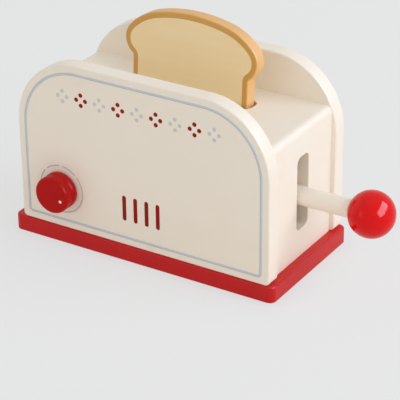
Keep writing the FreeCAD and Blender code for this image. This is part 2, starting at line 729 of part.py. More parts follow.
def slice_half(body):
    """The right half of a slice's outline, closed along its middle."""
    foot = SIZE.slice_foot_width / 2
    corner = SIZE.slice_foot_corner
    neck_radius = SIZE.slice_neck_radius
    lobe_radius = SIZE.slice_lobe_radius
    shoulder_radius = SIZE.slice_shoulder_radius
    lobe_u = foot + SIZE.slice_crown_overhang - lobe_radius
    lobe_v = SIZE.slice_height - SIZE.slice_lobe_drop
    shoulder_v = SIZE.slice_height - SIZE.slice_shoulder_drop

    # Where the tangent circles meet, so that the arcs start near their solved places
    height = SIZE.slice_height.number
    lobe = FreeCAD.Vector(lobe_u.number, lobe_v.number, 0)
    between = (shoulder_radius - lobe_radius).number
    climb = lobe_v.number - shoulder_v.number
    shoulder = FreeCAD.Vector(lobe.x - math.sqrt(between ** 2 - climb ** 2), shoulder_v.number, 0)
    reach = (neck_radius + lobe_radius).number
    neck_u = (foot + neck_radius).number
    neck = FreeCAD.Vector(neck_u, lobe.y - math.sqrt(reach ** 2 - (neck_u - lobe.x) ** 2), 0)
    rise = height - shoulder.y
    crown_radius = ((shoulder.x ** 2 + rise ** 2 - shoulder_radius.number ** 2)
                    / (2 * (rise - shoulder_radius.number)))
    crown = FreeCAD.Vector(0, height - crown_radius, 0)

    def bearing(start, end):
        return math.atan2(end.y - start.y, end.x - start.x)

    profile = Profile(body, "XZ_Plane", "outline")
    meeting = neck + (lobe - neck) * (neck_radius.number / reach)
    edge_u = foot.number
    round_foot = corner.number
    bottom = profile.line((0, 0), (edge_u - round_foot, 0))
    foot_arc = profile.arc((edge_u - round_foot, round_foot), round_foot, -math.pi / 2, 0)
    stem = profile.line((edge_u, round_foot), (edge_u, neck.y))
    neck_arc = profile.arc((neck.x, neck.y), neck_radius.number, bearing(neck, lobe), math.pi)
    lobe_arc = profile.arc((lobe.x, lobe.y), lobe_radius.number, bearing(lobe, meeting),
                           bearing(shoulder, lobe))
    shoulder_arc = profile.arc((shoulder.x, shoulder.y), shoulder_radius.number,
                               bearing(shoulder, lobe), bearing(crown, shoulder))
    crown_arc = profile.arc((0, crown.y), crown_radius, bearing(crown, shoulder), math.pi / 2)
    middle = profile.line((0, height), (0, 0))

    # The neck bends the other way, so it is joined by its far ends
    sketch = profile.sketch
    joints = (("Coincident", middle, 2, bottom, 1), ("Tangent", bottom, 2, foot_arc, 1),
              ("Tangent", foot_arc, 2, stem, 1), ("Tangent", stem, 2, neck_arc, 2),
              ("Tangent", neck_arc, 1, lobe_arc, 1), ("Tangent", lobe_arc, 2, shoulder_arc, 1),
              ("Tangent", shoulder_arc, 2, crown_arc, 1), ("Coincident", crown_arc, 2, middle, 1))
    for joint in joints:
        sketch.addConstraint(Sketcher.Constraint(*joint))
    profile.pin(bottom, 1, ZERO, ZERO)
    profile.pin(foot_arc, 3, foot - corner, corner)
    profile.limit("Radius", corner, foot_arc)
    profile.limit("Radius", neck_radius, neck_arc)
    profile.pin(lobe_arc, 3, lobe_u, lobe_v)
    profile.limit("Radius", lobe_radius, lobe_arc)
    profile.limit("Radius", shoulder_radius, shoulder_arc)
    profile.limit("DistanceY", shoulder_v, -1, 1, shoulder_arc, 3)
    profile.limit("DistanceX", ZERO, -1, 1, crown_arc, 3)
    profile.pin(crown_arc, 2, ZERO, SIZE.slice_height)
    return profile


def toast_slice():
    """A slice about its own middle plane: half an outline, mirrored, with eased edges."""
    body = new_body("toast_slice")
    half = feature(body, "Pad", "half", slice_half(body), Length=SIZE.slice_thickness)
    half.Midplane = True
    DOC.recompute()
    whole = body.newObject("PartDesign::Mirrored", "toast_slice_whole")
    whole.Originals = [half]
    whole.MirrorPlane = (origin_plane(body, "YZ_Plane"), [""])
    whole.Refine = True
    body.Tip = whole
    DOC.recompute()
    face = SIZE.slice_thickness.number / 2
    chamfer(body, "eased_edges", SIZE.slice_edge,
            lambda edge: flat_at(edge, "y", face) or flat_at(edge, "y", -face))
    leant_back = FreeCAD.Rotation(FreeCAD.Vector(-1, 0, 0), SIZE.slice_lean.number)
    place(body, x=SIZE.slice_shift, y=SIZE.slice_row, z=SLICE_BOTTOM, turn=leant_back)
    bind(body, ".Placement.Rotation.Angle", SIZE.slice_lean)


def check_document():
    """Stop if any object failed or any sub-part has no valid solid."""
    for obj in DOC.Objects:
        if {"Invalid", "Error"} & set(obj.State):
            raise ValueError(f"{obj.Label} failed: {obj.State}")
    for obj in SUBPARTS:
        if obj.Shape.isNull() or not obj.Shape.isValid() or not obj.Shape.Solids:
            raise ValueError(f"{obj.Label} has no valid solid")


def write_parts():
    os.makedirs("parts", exist_ok=True)
    for obj in SUBPARTS:
        obj.Shape.exportStep(f"parts/{obj.Label}.step")
        print(f"{obj.Label}: {len(obj.Shape.Solids)} solids, {obj.Shape.Volume / 1000:.2f} cm3")


# Places that two or more sub-parts share
GUIDE_POSTS = {
    "left_guide_post": (-POST_X, -POST_Y),
    "right_guide_post": (POST_X, POST_Y),
}
PANEL_SCREW_X = SIZE.panel_screw_spread / 2
BASE_SCREWS = four(PANEL_SCREW_X, PANEL_MIDDLE)
SCREW_PILOT_DEPTH = SIZE.base_screw_length - SIZE.base_board + SIZE.seat_gap * 2
LIFT_SCREW_XS = (-(SIZE.lift_screw_spread / 2), SIZE.lift_screw_spread / 2)
TOP_DOWEL_X = SIDE_INNER - SIZE.top_dowel_inset
TOP_DOWEL_Z = TOP_UNDERSIDE + SIZE.top_board / 2

base_plate()
front_panel()
back_panel()
side_panel("left_side_panel", -SIDE_OUTER)
right_side_panel()
top_panel()
for post_label, (post_x, post_y) in GUIDE_POSTS.items():
    guide_post(post_label, post_x, post_y)
dowels()
screws()
timer_knob()
knob_axle()
knob_discs()
lever_rod()
lever_ball()
lift_platform()
cleats()
toast_slice()

DOC.recompute()
check_document()
write_parts()
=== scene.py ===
import functools
import logging
import math
from collections.abc import Callable, Sequence
from dataclasses import dataclass
from enum import Enum

import bpy
from mathutils import Matrix, Quaternion, Vector
from mathutils.geometry import tessellate_polygon


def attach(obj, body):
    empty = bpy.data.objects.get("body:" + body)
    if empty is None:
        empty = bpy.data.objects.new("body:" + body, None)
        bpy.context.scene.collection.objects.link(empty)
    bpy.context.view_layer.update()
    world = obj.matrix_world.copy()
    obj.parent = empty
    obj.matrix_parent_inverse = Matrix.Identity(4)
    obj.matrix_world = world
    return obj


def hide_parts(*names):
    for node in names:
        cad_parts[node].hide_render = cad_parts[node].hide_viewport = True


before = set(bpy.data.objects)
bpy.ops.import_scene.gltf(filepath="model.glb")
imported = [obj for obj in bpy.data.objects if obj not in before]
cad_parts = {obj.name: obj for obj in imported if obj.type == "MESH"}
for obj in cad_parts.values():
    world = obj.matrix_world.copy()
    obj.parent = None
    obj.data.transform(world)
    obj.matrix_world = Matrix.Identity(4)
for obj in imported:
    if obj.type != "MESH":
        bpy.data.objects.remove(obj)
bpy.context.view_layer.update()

# A wooden toy toaster. Sizes in this file are millimetres unless a name says otherwise, in the
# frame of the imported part: X along the front from left to right, Y to the back and Z up.

LOG = logging.getLogger("toy_toaster")
MM = 0.001
RUB = "edge_rub"

# Two points this near share one place, and corners weld when they round to the same step
SAME_PLACE = 1e-6
WELD_STEPS = 1e4
# The cosine above which two directions count as one
ALIGNED = 0.999
# How much hands rub an edge where its rounding begins and ends; the middle is rubbed fully
RUB_AT_ENDS = 0.35

# The most degrees between two points of a curve
FINE_STEP = 3.0
ROUND_STEP = 5.0
USUAL_STEP = 6.0
SLOT_STEP = 7.5
EDGE_STEP = 15.0
SPECK_STEP = 22.5

# Which way a flat face looks
UP = Vector((0, 0, 1))
DOWN = Vector((0, 0, -1))
TO_FRONT = Vector((0, -1, 0))
TO_BACK = Vector((0, 1, 0))

Colour = tuple[int, int, int]


# ---------------------------------------------------------------------------------------------
# Lines and sections
# ---------------------------------------------------------------------------------------------


@dataclass(frozen=True)
class Corner:
    """A corner of a traced line, and the radius that rounds it."""

    x: float
    y: float
    radius: float = 0.0


@dataclass(frozen=True)
class TracePoint:
    """A point of an outline or a section, its outward normal and how much hands rub it, 0 to 1."""

    x: float
    y: float
    out_x: float
    out_y: float
    rub: float = 0.0

    def at(self, other: "TracePoint") -> bool:
        """Whether two points share one place."""
        return math.hypot(self.x - other.x, self.y - other.y) < SAME_PLACE


def arc(
    centre: tuple[float, float],
    radius: float,
    start: float,
    end: float,
    step: float = USUAL_STEP,
    hollow: bool = False,
    rubbed: bool = False,
) -> list[TracePoint]:
    """Traces part of a circle.

    Args:
        centre: Its centre.
        radius: Its radius.
        start: The direction of the first point from the centre, in degrees.
        end: The direction of the last point.
        step: The most degrees between two points.
        hollow: Whether the outside is on the centre's side.
        rubbed: Whether the arc is an edge that hands rub.

    Returns:
        The points from start to end.
    """
    parts = max(2, math.ceil(abs(end - start) / step))
    side = -1 if hollow else 1
    points = []
    for part in range(parts + 1):
        angle = math.radians(start + (end - start) * part / parts)
        across, up = math.cos(angle), math.sin(angle)
        middle = math.sin(math.pi * part / parts)
        rub = RUB_AT_ENDS + (1 - RUB_AT_ENDS) * middle if rubbed else 0.0
        points.append(
            TracePoint(centre[0] + radius * across, centre[1] + radius * up,
                       side * across, side * up, rub)
        )
    return points


def trace(corners: Sequence[Corner], closed: bool = True, step: float = USUAL_STEP,
          fringe: float = 0.0) -> list[TracePoint]:
    """Follows straight runs and rounds the corners between them.

    Args:
        corners: The corners in order, with the outside on the right of the way along them.
        closed: Whether the last corner joins the first.
        step: The most degrees between two points of a rounded corner.
        fringe: How far past a rounded corner the rubbing of hands fades out. With 0 the line
            isn't rubbed.

    Returns:
        The points of the line. A sharp corner has two, one for each of its normals.
    """
    points: list[TracePoint] = []
    for index, corner in enumerate(corners):
        here = Vector((corner.x, corner.y))
        ways = []
        for other, sign in ((index - 1, -1), (index + 1, 1)):
            if closed or 0 <= other < len(corners):
                there = corners[other % len(corners)]
                ways.append((Vector((there.x, there.y)) - here).normalized() * sign)
        normals = [Vector((way.y, -way.x)) for way in ways]
        if len(ways) == 1 or corner.radius == 0:
            points += [TracePoint(corner.x, corner.y, normal.x, normal.y) for normal in normals]
            continue
        turn = math.degrees(math.atan2(ways[0].cross(ways[1]), ways[0].dot(ways[1])))
        side = 1 if turn > 0 else -1
        first = here - ways[0] * corner.radius * math.tan(math.radians(abs(turn)) / 2)
        centre = first - normals[0] * corner.radius * side
        facing = normals[0] * side
        start = math.degrees(math.atan2(facing.y, facing.x))
        bend = arc(tuple(centre), corner.radius, start, start + turn, step, hollow=turn < 0,
                   rubbed=fringe > 0)
        if fringe:
            lead = first - ways[0] * fringe
            last = Vector((bend[-1].x, bend[-1].y)) + ways[1] * fringe
            bend.insert(0, TracePoint(lead.x, lead.y, normals[0].x, normals[0].y))
            bend.append(TracePoint(last.x, last.y, normals[1].x, normals[1].y))
        points += bend
    return points


def box_outline(left: float, right: float, low: float, high: float, radius: float = 0.0,
                step: float = USUAL_STEP) -> list[TracePoint]:
    """Traces a rectangle with rounded corners, which make a circle or a slot where they meet."""
    places = ((left, low), (right, low), (right, high), (left, high))
    return trace([Corner(x, y, radius) for x, y in places], step=step)


def round_outline(x: float, y: float, radius: float, step: float = USUAL_STEP) -> list[TracePoint]:
    """Traces a circle."""
    return box_outline(x - radius, x + radius, y - radius, y + radius, radius, step)


def hole(outline: Sequence[TracePoint]) -> list[TracePoint]:
    """Turns an outline into the outline of a hole, with the material outside it."""
    return [TracePoint(p.x, p.y, -p.out_x, -p.out_y, p.rub) for p in reversed(outline)]


def board_edge(thickness: float, back: float, front: float, reach: float = 0.0,
               fringe: float = 1.6) -> list[TracePoint]:
    """Traces the edge of a board, from its back face over the edge to its front face.

    Args:
        thickness: The board's thickness.
        back: The radius that rounds the edge's back corner, 0 for a sharp one.
        front: The radius that rounds its front corner.
        reach: How far the traced strip goes over each face from a rounded corner, at least.
        fringe: How far past the rounded corners hands rub.

    Returns:
        The section's points, x outward from the board's outline and y up from its back face.
    """
    corners = [Corner(0, 0, back), Corner(0, thickness, front)]
    if back:
        corners.insert(0, Corner(-max(reach, back + fringe), 0))
    if front:
        corners.append(Corner(-max(reach, front + fringe), thickness))
    return trace(corners, closed=False, step=EDGE_STEP, fringe=fringe)


def upright(y: float = 0.0) -> Matrix:
    """A drawing plane that faces the front: x along X, y along Z and its height along -Y."""
    return Matrix(((1, 0, 0, 0), (0, 0, -1, y), (0, 1, 0, 0), (0, 0, 0, 1)))


def level(z: float = 0.0) -> Matrix:
    """A drawing plane that faces up, with its height along Z."""
    return Matrix.Translation((0, 0, z))


def sideways(x: float) -> Matrix:
    """A drawing plane that faces right: x along Y, y along Z and its height along X."""
    return Matrix(((0, 0, 1, x), (1, 0, 0, 0), (0, 1, 0, 0), (0, 0, 0, 1)))


def bearing(start: Vector, end: Vector) -> float:
    """Gives the direction from one point of a plane to another, in degrees."""
    return math.degrees(math.atan2(end.y - start.y, end.x - start.x))


# ---------------------------------------------------------------------------------------------
# Meshes
# ---------------------------------------------------------------------------------------------


class MeshDraft:
    """One closed mesh as it is drawn: its corners, its faces and a normal for each face corner."""

    def __init__(self) -> None:
        """Starts an empty draft."""
        self.places: list[Vector] = []
        self.rubs: list[float] = []
        self.faces: list[list[int]] = []
        self.normals: list[Vector] = []
        self.finish_of: list[int] = []
        self.known: dict[tuple[int, int, int], int] = {}

    def corner(self, place: Vector, rub: float = 0.0) -> int:
        """Finds the corner at a place, and makes it if it isn't there yet.

        Args:
            place: The place.
            rub: How much hands rub it, 0 to 1.

        Returns:
            The corner's number.
        """
        key = tuple(round(value * WELD_STEPS) for value in place)
        if key not in self.known:
            self.known[key] = len(self.places)
            self.places.append(place * MM)
            self.rubs.append(rub)
        return self.known[key]

    def face(self, corners: Sequence[int], normals: Sequence[Vector] = (),
             finish: int = 0) -> None:
        """Adds a face, less the corners that repeat the one before them.

        Args:
            corners: The numbers of its corners, counter-clockwise from outside.
            normals: The surface's normal at each of them, none where creases shade the mesh.
            finish: Which of the mesh's finishes it has.
        """
        kept = [i for i, corner in enumerate(corners) if corner != corners[i - 1]]
        if len(kept) < 3:
            return
        self.faces.append([corners[i] for i in kept])
        self.normals += [normals[i].normalized() for i in kept if normals]
        self.finish_of.append(finish)

    def sweep(
        self,
        outline: Sequence[TracePoint],
        section: Sequence[TracePoint],
        plane: Matrix,
        finish: int = 0,
        leave_out: Callable[[TracePoint], bool] | None = None,
    ) -> tuple[list[int], list[int]]:
        """Carries a section round a closed outline.

        Args:
            outline: The outline on the drawing plane.
            section: The section, x outward from the outline and y along the plane's height.
            plane: The drawing plane.
            finish: Which of the mesh's finishes the surface has.
            leave_out: Tells the outline's runs that get no faces, from both their points.

        Returns:
            The corners of the first and of the last ring.
        """
        turn = plane.to_3x3()
        mitres = []
        for index, point in enumerate(outline):
            own = Vector((point.out_x, point.out_y))
            mitre = own
            for other in (outline[index - 1], outline[(index + 1) % len(outline)]):
                beside = Vector((other.out_x, other.out_y))
                if other.at(point) and beside.dot(own) < ALIGNED:
                    mitre = (own + beside) / (1 + own.dot(beside))
            mitres.append(mitre)
        rings, facings = [], []
        for step in section:
            ring, facing = [], []
            for point, mitre in zip(outline, mitres):
                flat = Vector((point.x, point.y)) + mitre * step.x
                ring.append(self.corner(plane @ Vector((flat.x, flat.y, step.y)), step.rub))
                out = Vector((point.out_x * step.out_x, point.out_y * step.out_x, step.out_y))
                facing.append(turn @ out)
            rings.append(ring)
            facings.append(facing)
        for row in range(len(section) - 1):
            if section[row].at(section[row + 1]):
                continue
            for here in range(len(outline)):
                there = (here + 1) % len(outline)
                if leave_out and leave_out(outline[here]) and leave_out(outline[there]):
                    continue
                around = ((row, here), (row, there), (row + 1, there), (row + 1, here))
                self.face([rings[r][c] for r, c in around], [facings[r][c] for r, c in around],
                          finish)
        return self.ring(rings[0]), self.ring(rings[-1])

    @staticmethod
    def ring(corners: Sequence[int]) -> list[int]:
        """Drops the corners of a ring that repeat the one before them."""
        return [corner for i, corner in enumerate(corners) if corner != corners[i - 1]]

    def fill(self, rings: Sequence[Sequence[int]], normal: Vector, finish: int = 0) -> None:
        """Closes a flat face with a finish.

        Args:
            rings: The ring round the face, then the ring of each hole in it.
            normal: Which way the face looks.
            finish: Which of the mesh's finishes it has.
        """
        order = [corner for ring in rings for corner in ring]
        loops = [[self.places[corner] for corner in ring] for ring in rings]
        for triangle in tessellate_polygon(loops):
            corners = [order[i] for i in triangle]
            a, b, c = (self.places[corner] for corner in corners)
            if (b - a).cross(c - a).dot(normal) < 0:
                corners.reverse()
            self.face(corners, [normal] * 3, finish)

    def build(self, name: str, finishes: Sequence[bpy.types.Material],
              crease: float = 0.0) -> bpy.types.Object:
        """Makes the object, at the origin, with its place in its mesh.

        Args:
            name: The object's name.
            finishes: Its materials, in the order of the faces' finish numbers.
            crease: The angle in degrees from which an edge is sharp. With 0 the drawn normals
                shade the mesh.

        Returns:
            The object.
        """
        mesh = bpy.data.meshes.new(name)
        mesh.from_pydata(self.places, [], self.faces)
        for finish in finishes:
            mesh.materials.append(finish)
        mesh.polygons.foreach_set("material_index", self.finish_of)
        mesh.polygons.foreach_set("use_smooth", [True] * len(self.faces))
        mesh.attributes.new(RUB, "FLOAT", "POINT").data.foreach_set("value", self.rubs)
        if crease:
            mesh.set_sharp_from_angle(angle=math.radians(crease))
        else:
            mesh.normals_split_custom_set([tuple(normal) for normal in self.normals])
        return new_object(name, mesh)


def new_object(name: str, data: bpy.types.ID) -> bpy.types.Object:
    """Puts new object data in the scene.

    Args:
        name: The object's name.
        data: Its mesh, curve, light or camera.

    Returns:
        The object.
    """
    made = bpy.data.objects.new(name, data)
    bpy.context.scene.collection.objects.link(made)
    return made


def settle(piece: bpy.types.Object, body: str, slot: str, *nodes: str) -> None:
    """Parents a finished piece to its body and hides the CAD nodes that it stands for.

    Args:
        piece: The piece.
        body: The body that it moves with.
        slot: The name of a material slot, which is not used.
        nodes: The CAD nodes that it stands for.
    """
    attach(piece, body)
    if nodes:
        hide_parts(*nodes)
    LOG.info("%s: %d faces on %s", piece.name, len(piece.data.polygons), body)


def dress(node: str, finish: bpy.types.Material) -> None:
    """Gives a CAD node that stays in view its finish.

    Args:
        node: The node.
        finish: Its material.
    """
    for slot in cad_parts[node].material_slots:
        slot.material = finish
    LOG.info("%s: dressed in %s", node, finish.name)


# ---------------------------------------------------------------------------------------------
# Wiring of node trees
# ---------------------------------------------------------------------------------------------

# The colour sockets of a Mix node, by number because its other kinds share their names
MIX_SHARE, MIX_FIRST, MIX_SECOND, MIX_RESULT = 0, 6, 7, 2


class Wires:
    """Adds nodes to one tree and joins them."""

    def __init__(self, tree: bpy.types.NodeTree) -> None:
        """Starts with an empty tree."""
        self.tree = tree
        tree.nodes.clear()

    def add(self, kind: str, sockets: dict[str | int, object] | None = None,
            **settings: object) -> bpy.types.Node:
        """Adds a node.

        Args:
            kind: The node's type.
            sockets: For each input, by name or number, a value or the output that feeds it.
            settings: The node's own settings.

        Returns:
            The node.
        """
        node = self.tree.nodes.new(kind)
        for name, value in settings.items():
            setattr(node, name, value)
        for key, value in (sockets or {}).items():
            if isinstance(value, bpy.types.NodeSocket):
                self.tree.links.new(value, node.inputs[key])
            else:
                node.inputs[key].default_value = value
        return node

    def sum_up(self, operation: str, first: object, second: object = 0.0,
               third: object = 0.0) -> bpy.types.NodeSocket:
        """Puts values through one Math node."""
        return self.add("ShaderNodeMath", {0: first, 1: second, 2: third},
                        operation=operation).outputs[0]

    def stretch(self, vector: object, scale: object) -> bpy.types.NodeSocket:
        """Multiplies one vector by another."""
        return self.add("ShaderNodeVectorMath", {0: vector, 1: scale},
                        operation="MULTIPLY").outputs[0]

    def noise(self, place: object, scale: object, detail: float = 2.0,
              roughness: float = 0.5, distortion: float = 0.0) -> bpy.types.NodeSocket:
        """Adds a noise pattern.

        Args:
            place: Where it is looked up.
            scale: How many waves it has to a metre.
            detail: How many finer octaves it has.
            roughness: How strong those are.
            distortion: How far it is warped.

        Returns:
            Its value, 0 to 1.
        """
        sockets = {"Vector": place, "Scale": scale, "Detail": detail, "Roughness": roughness,
                   "Distortion": distortion}
        return self.add("ShaderNodeTexNoise", sockets).outputs["Fac"]

    def span(self, value: object, low: object, high: object, start: object = 0.0,
             end: object = 1.0) -> bpy.types.NodeSocket:
        """Maps one range onto another, and no further.

        Args:
            value: What is mapped.
            low: The value that becomes start.
            high: The value that becomes end.
            start: The result at low.
            end: The result at high.

        Returns:
            The result.
        """
        sockets = {"Value": value, "From Min": low, "From Max": high, "To Min": start,
                   "To Max": end}
        return self.add("ShaderNodeMapRange", sockets).outputs[0]

    def blend(self, share: object, first: object, second: object) -> bpy.types.NodeSocket:
        """Mixes two colours, by the share of the second one, 0 to 1."""
        sockets = {MIX_SHARE: share, MIX_FIRST: first, MIX_SECOND: second}
        return self.add("ShaderNodeMix", sockets, data_type="RGBA").outputs[MIX_RESULT]

    def place(self, kind: bpy.types.NodeTree, sockets: dict[str, object]) -> bpy.types.Node:
        """Places a shader node group."""
        return self.add("ShaderNodeGroup", sockets, node_tree=kind)

    def give(self, end: bpy.types.Node,
             made: dict[str, bpy.types.NodeSocket]) -> bpy.types.NodeTree:
        """Ends a group.

        Args:
            end: Its output node.
            made: What it gives, by the outputs' names.

        Returns:
            The group.
        """
        for label, value in made.items():
            self.tree.links.new(value, end.inputs[label])
        return self.tree


def start_group(name: str, kind: str, given: dict[str, tuple[str, object]],
                made: dict[str, str]) -> tuple[Wires, dict[str, bpy.types.NodeSocket],
                                               bpy.types.Node]:
    """Starts a node group with named sockets.

    Args:
        name: The group's name.
        kind: The type of its tree.
        given: For each input, its type after NodeSocket and its usual value.
        made: For each output, its type.

    Returns:
        The group's wires, its inputs by name and its output node.
    """
    tree = bpy.data.node_groups.new(name, kind)
    wires = Wires(tree)
    for label, (form, usual) in given.items():
        socket = tree.interface.new_socket(label, in_out="INPUT", socket_type="NodeSocket" + form)
        if usual is not None:
            socket.default_value = usual
    for label, form in made.items():
        tree.interface.new_socket(label, in_out="OUTPUT", socket_type="NodeSocket" + form)
    start = wires.add("NodeGroupInput")
    end = wires.add("NodeGroupOutput")
    return wires, {label: start.outputs[label] for label in given}, end


# ---------------------------------------------------------------------------------------------
# Effects that several finishes share
# ---------------------------------------------------------------------------------------------


@functools.cache
def board_grain() -> bpy.types.NodeTree:
    """Makes the group that draws wood grain along X, as broad figure and fine fibres.

    Returns:
        The group.
    """
    wires, given, end = start_group(
        "board_grain", "ShaderNodeTree",
        {"Place": ("Vector", None), "Figure Scale": ("Float", 60.0), "Run": ("Float", 0.06),
         "Fibre Scale": ("Float", 420.0)},
        {"Figure": "Float", "Fibres": "Float"},
    )
    warp_scale, ring_count, ring_wander = 0.4, 18.0, 9.0
    squeeze = wires.add("ShaderNodeCombineXYZ", {0: given["Run"], 1: 1.0, 2: 1.0}).outputs[0]
    along = wires.stretch(given["Place"], squeeze)
    warp = wires.noise(along, wires.sum_up("MULTIPLY", given["Figure Scale"], warp_scale))
    bands = wires.noise(along, given["Figure Scale"], detail=3.0, roughness=0.55, distortion=0.6)
    wander = wires.sum_up("MULTIPLY", warp, ring_wander)
    rings = wires.sum_up("SINE", wires.sum_up("MULTIPLY_ADD", bands, ring_count, wander))
    figure = wires.span(rings, low=-1.0, high=1.0)
    fibres = wires.noise(along, given["Fibre Scale"], roughness=0.6)
    return wires.give(end, {"Figure": figure, "Fibres": wires.span(fibres, low=0.3, high=0.7)})


@functools.cache
def colour_drift() -> bpy.types.NodeTree:
    """Makes the group for how a colour drifts over a surface: in broad clouds and small flecks.

    Returns:
        The group.
    """
    wires, given, end = start_group(
        "colour_drift", "ShaderNodeTree",
        {"Place": ("Vector", None), "Cloud Scale": ("Float", 14.0),
         "Fleck Scale": ("Float", 700.0)},
        {"Clouds": "Float", "Flecks": "Float"},
    )
    clouds = wires.noise(given["Place"], given["Cloud Scale"], detail=3.0)
    flecks = wires.noise(given["Place"], given["Fleck Scale"], detail=1.0)
    return wires.give(end, {"Clouds": wires.span(clouds, low=0.3, high=0.7),
                            "Flecks": wires.span(flecks, low=0.25, high=0.75)})


@functools.cache
def edge_wear() -> bpy.types.NodeTree:
    """Makes the group that says where hands have rubbed an edge, in frayed patches.

    Returns:
        The group.
    """
    wires, given, end = start_group(
        "edge_wear", "ShaderNodeTree",
        {"Place": ("Vector", None), "Rub": ("Float", 0.0), "Amount": ("Float", 0.3),
         "Fray Scale": ("Float", 900.0)},
        {"Mask": "Float", "Polish": "Float"},
    )
    patch_scale, fray_share, softness = 0.1, 0.35, 0.08
    wide = wires.sum_up("MULTIPLY", given["Fray Scale"], patch_scale)
    patches = wires.span(wires.noise(given["Place"], wide, detail=3.0), low=0.35, high=0.7,
                         end=1 - fray_share)
    fray = wires.noise(given["Place"], given["Fray Scale"], roughness=0.6)
    uneven = wires.sum_up("MULTIPLY_ADD", fray, fray_share, patches)
    worn = wires.sum_up("MULTIPLY", given["Rub"], uneven)
    limit = wires.sum_up("SUBTRACT", 1.0, given["Amount"])
    mask = wires.span(worn, limit, wires.sum_up("ADD", limit, softness))
    return wires.give(end, {"Mask": mask, "Polish": given["Rub"]})


@functools.cache
def fine_dust() -> bpy.types.NodeTree:
    """Makes the group for the dust and lint that lie on faces that look up.

    Returns:
        The group.
    """
    wires, given, end = start_group(
        "fine_dust", "ShaderNodeTree",
        {"Place": ("Vector", None), "Speck Scale": ("Float", 900.0), "Amount": ("Float", 0.2)},
        {"Mask": "Float"},
    )
    film_scale = 30.0
    normal = wires.add("ShaderNodeNewGeometry").outputs["Normal"]
    upward = wires.add("ShaderNodeSeparateXYZ", {0: normal}).outputs["Z"]
    shelf = wires.span(upward, low=0.3, high=0.95)
    specks = wires.span(wires.noise(given["Place"], given["Speck Scale"], detail=0.0),
                        low=0.66, high=0.74)
    film = wires.span(wires.noise(given["Place"], film_scale, detail=4.0, roughness=0.65),
                      low=0.45, high=0.8, end=0.35)
    lying = wires.sum_up("MULTIPLY", shelf, wires.sum_up("MAXIMUM", specks, film))
    return wires.give(end, {"Mask": wires.sum_up("MULTIPLY", lying, given["Amount"])})


@functools.cache
def film_relief() -> bpy.types.NodeTree:
    """Makes the group for the height of a paint film: a roller's skin over grain that shows.

    Returns:
        The group.
    """
    wires, given, end = start_group(
        "film_relief", "ShaderNodeTree",
        {"Place": ("Vector", None), "Skin Scale": ("Float", 450.0), "Skin": ("Float", 1.0),
         "Fibres": ("Float", 0.5), "Grain": ("Float", 0.3)},
        {"Height": "Float"},
    )
    skin = wires.noise(given["Place"], given["Skin Scale"], detail=1.0, roughness=0.4)
    grain = wires.sum_up("MULTIPLY", given["Fibres"], given["Grain"])
    height = wires.sum_up("MULTIPLY_ADD", skin, given["Skin"], grain)
    return wires.give(end, {"Height": height})


# ---------------------------------------------------------------------------------------------
# Finishes
# ---------------------------------------------------------------------------------------------


class Grain(Enum):
    """Which way a board's grain runs, as the turn that brings it onto X."""

    ALONG_X = (0.0, 0.0, 0.0)
    ALONG_Y = (0.0, 0.0, math.pi / 2)
    ALONG_Z = (0.0, math.pi / 2, 0.0)


# The curve between written colours and light: where its straight foot ends, that foot's slope,
# and the offset and the power of the rest
FOOT_END, FOOT_SLOPE, CURVE_OFFSET, CURVE_POWER = 0.04045, 12.92, 0.055, 2.4


def paint_colour(colour: Colour) -> tuple[float, float, float, float]:
    """Turns a written colour into the light that it sends back.

    Args:
        colour: Red, green and blue, 0 to 255.

    Returns:
        The share of each light that comes back, and a full alpha.
    """
    linear = []
    for part in colour:
        share = part / 255
        if share <= FOOT_END:
            linear.append(share / FOOT_SLOPE)
        else:
            linear.append(((share + CURVE_OFFSET) / (1 + CURVE_OFFSET)) ** CURVE_POWER)
    return (*linear, 1.0)


def grain_place(wires: Wires, grain: Grain) -> bpy.types.NodeSocket:
    """Adds object coordinates, turned so that the grain runs along X.

    Args:
        wires: The material's wires.
        grain: Which way the grain runs.

    Returns:
        The turned coordinates.
    """
    place = wires.add("ShaderNodeTexCoord").outputs["Object"]
    return wires.add("ShaderNodeMapping", {"Vector": place, "Rotation": grain.value},
                     vector_type="POINT").outputs[0]


@dataclass(frozen=True)
class Relief:
    """How strongly the fine height of a surface shows, and how high it stands in metres."""

    strength: float
    height: float


def start_material(name: str) -> tuple[bpy.types.Material, Wires]:
    """Starts a material with an empty tree.

    Args:
        name: The material's name.

    Returns:
        The material and its wires.
    """
    made = bpy.data.materials.new(name)
    made.use_nodes = True
    return made, Wires(made.node_tree)


def end_material(wires: Wires, varied: dict[str, bpy.types.NodeSocket],
                 height: bpy.types.NodeSocket, relief: Relief,
                 even: dict[str, float]) -> None:
    """Ends a material with its shader.

    Args:
        wires: The material's wires.
        varied: The shader's sockets that change over the surface, by name.
        height: The fine height of the surface.
        relief: How that shows.
        even: The shader's sockets that are the same all over.
    """
    bump = wires.add("ShaderNodeBump", {"Height": height, "Strength": relief.strength,
                                        "Distance": relief.height})
    shader = wires.add("ShaderNodeBsdfPrincipled",
                       {**varied, "Normal": bump.outputs[0], **even})
    wires.add("ShaderNodeOutputMaterial", {"Surface": shader.outputs[0]})


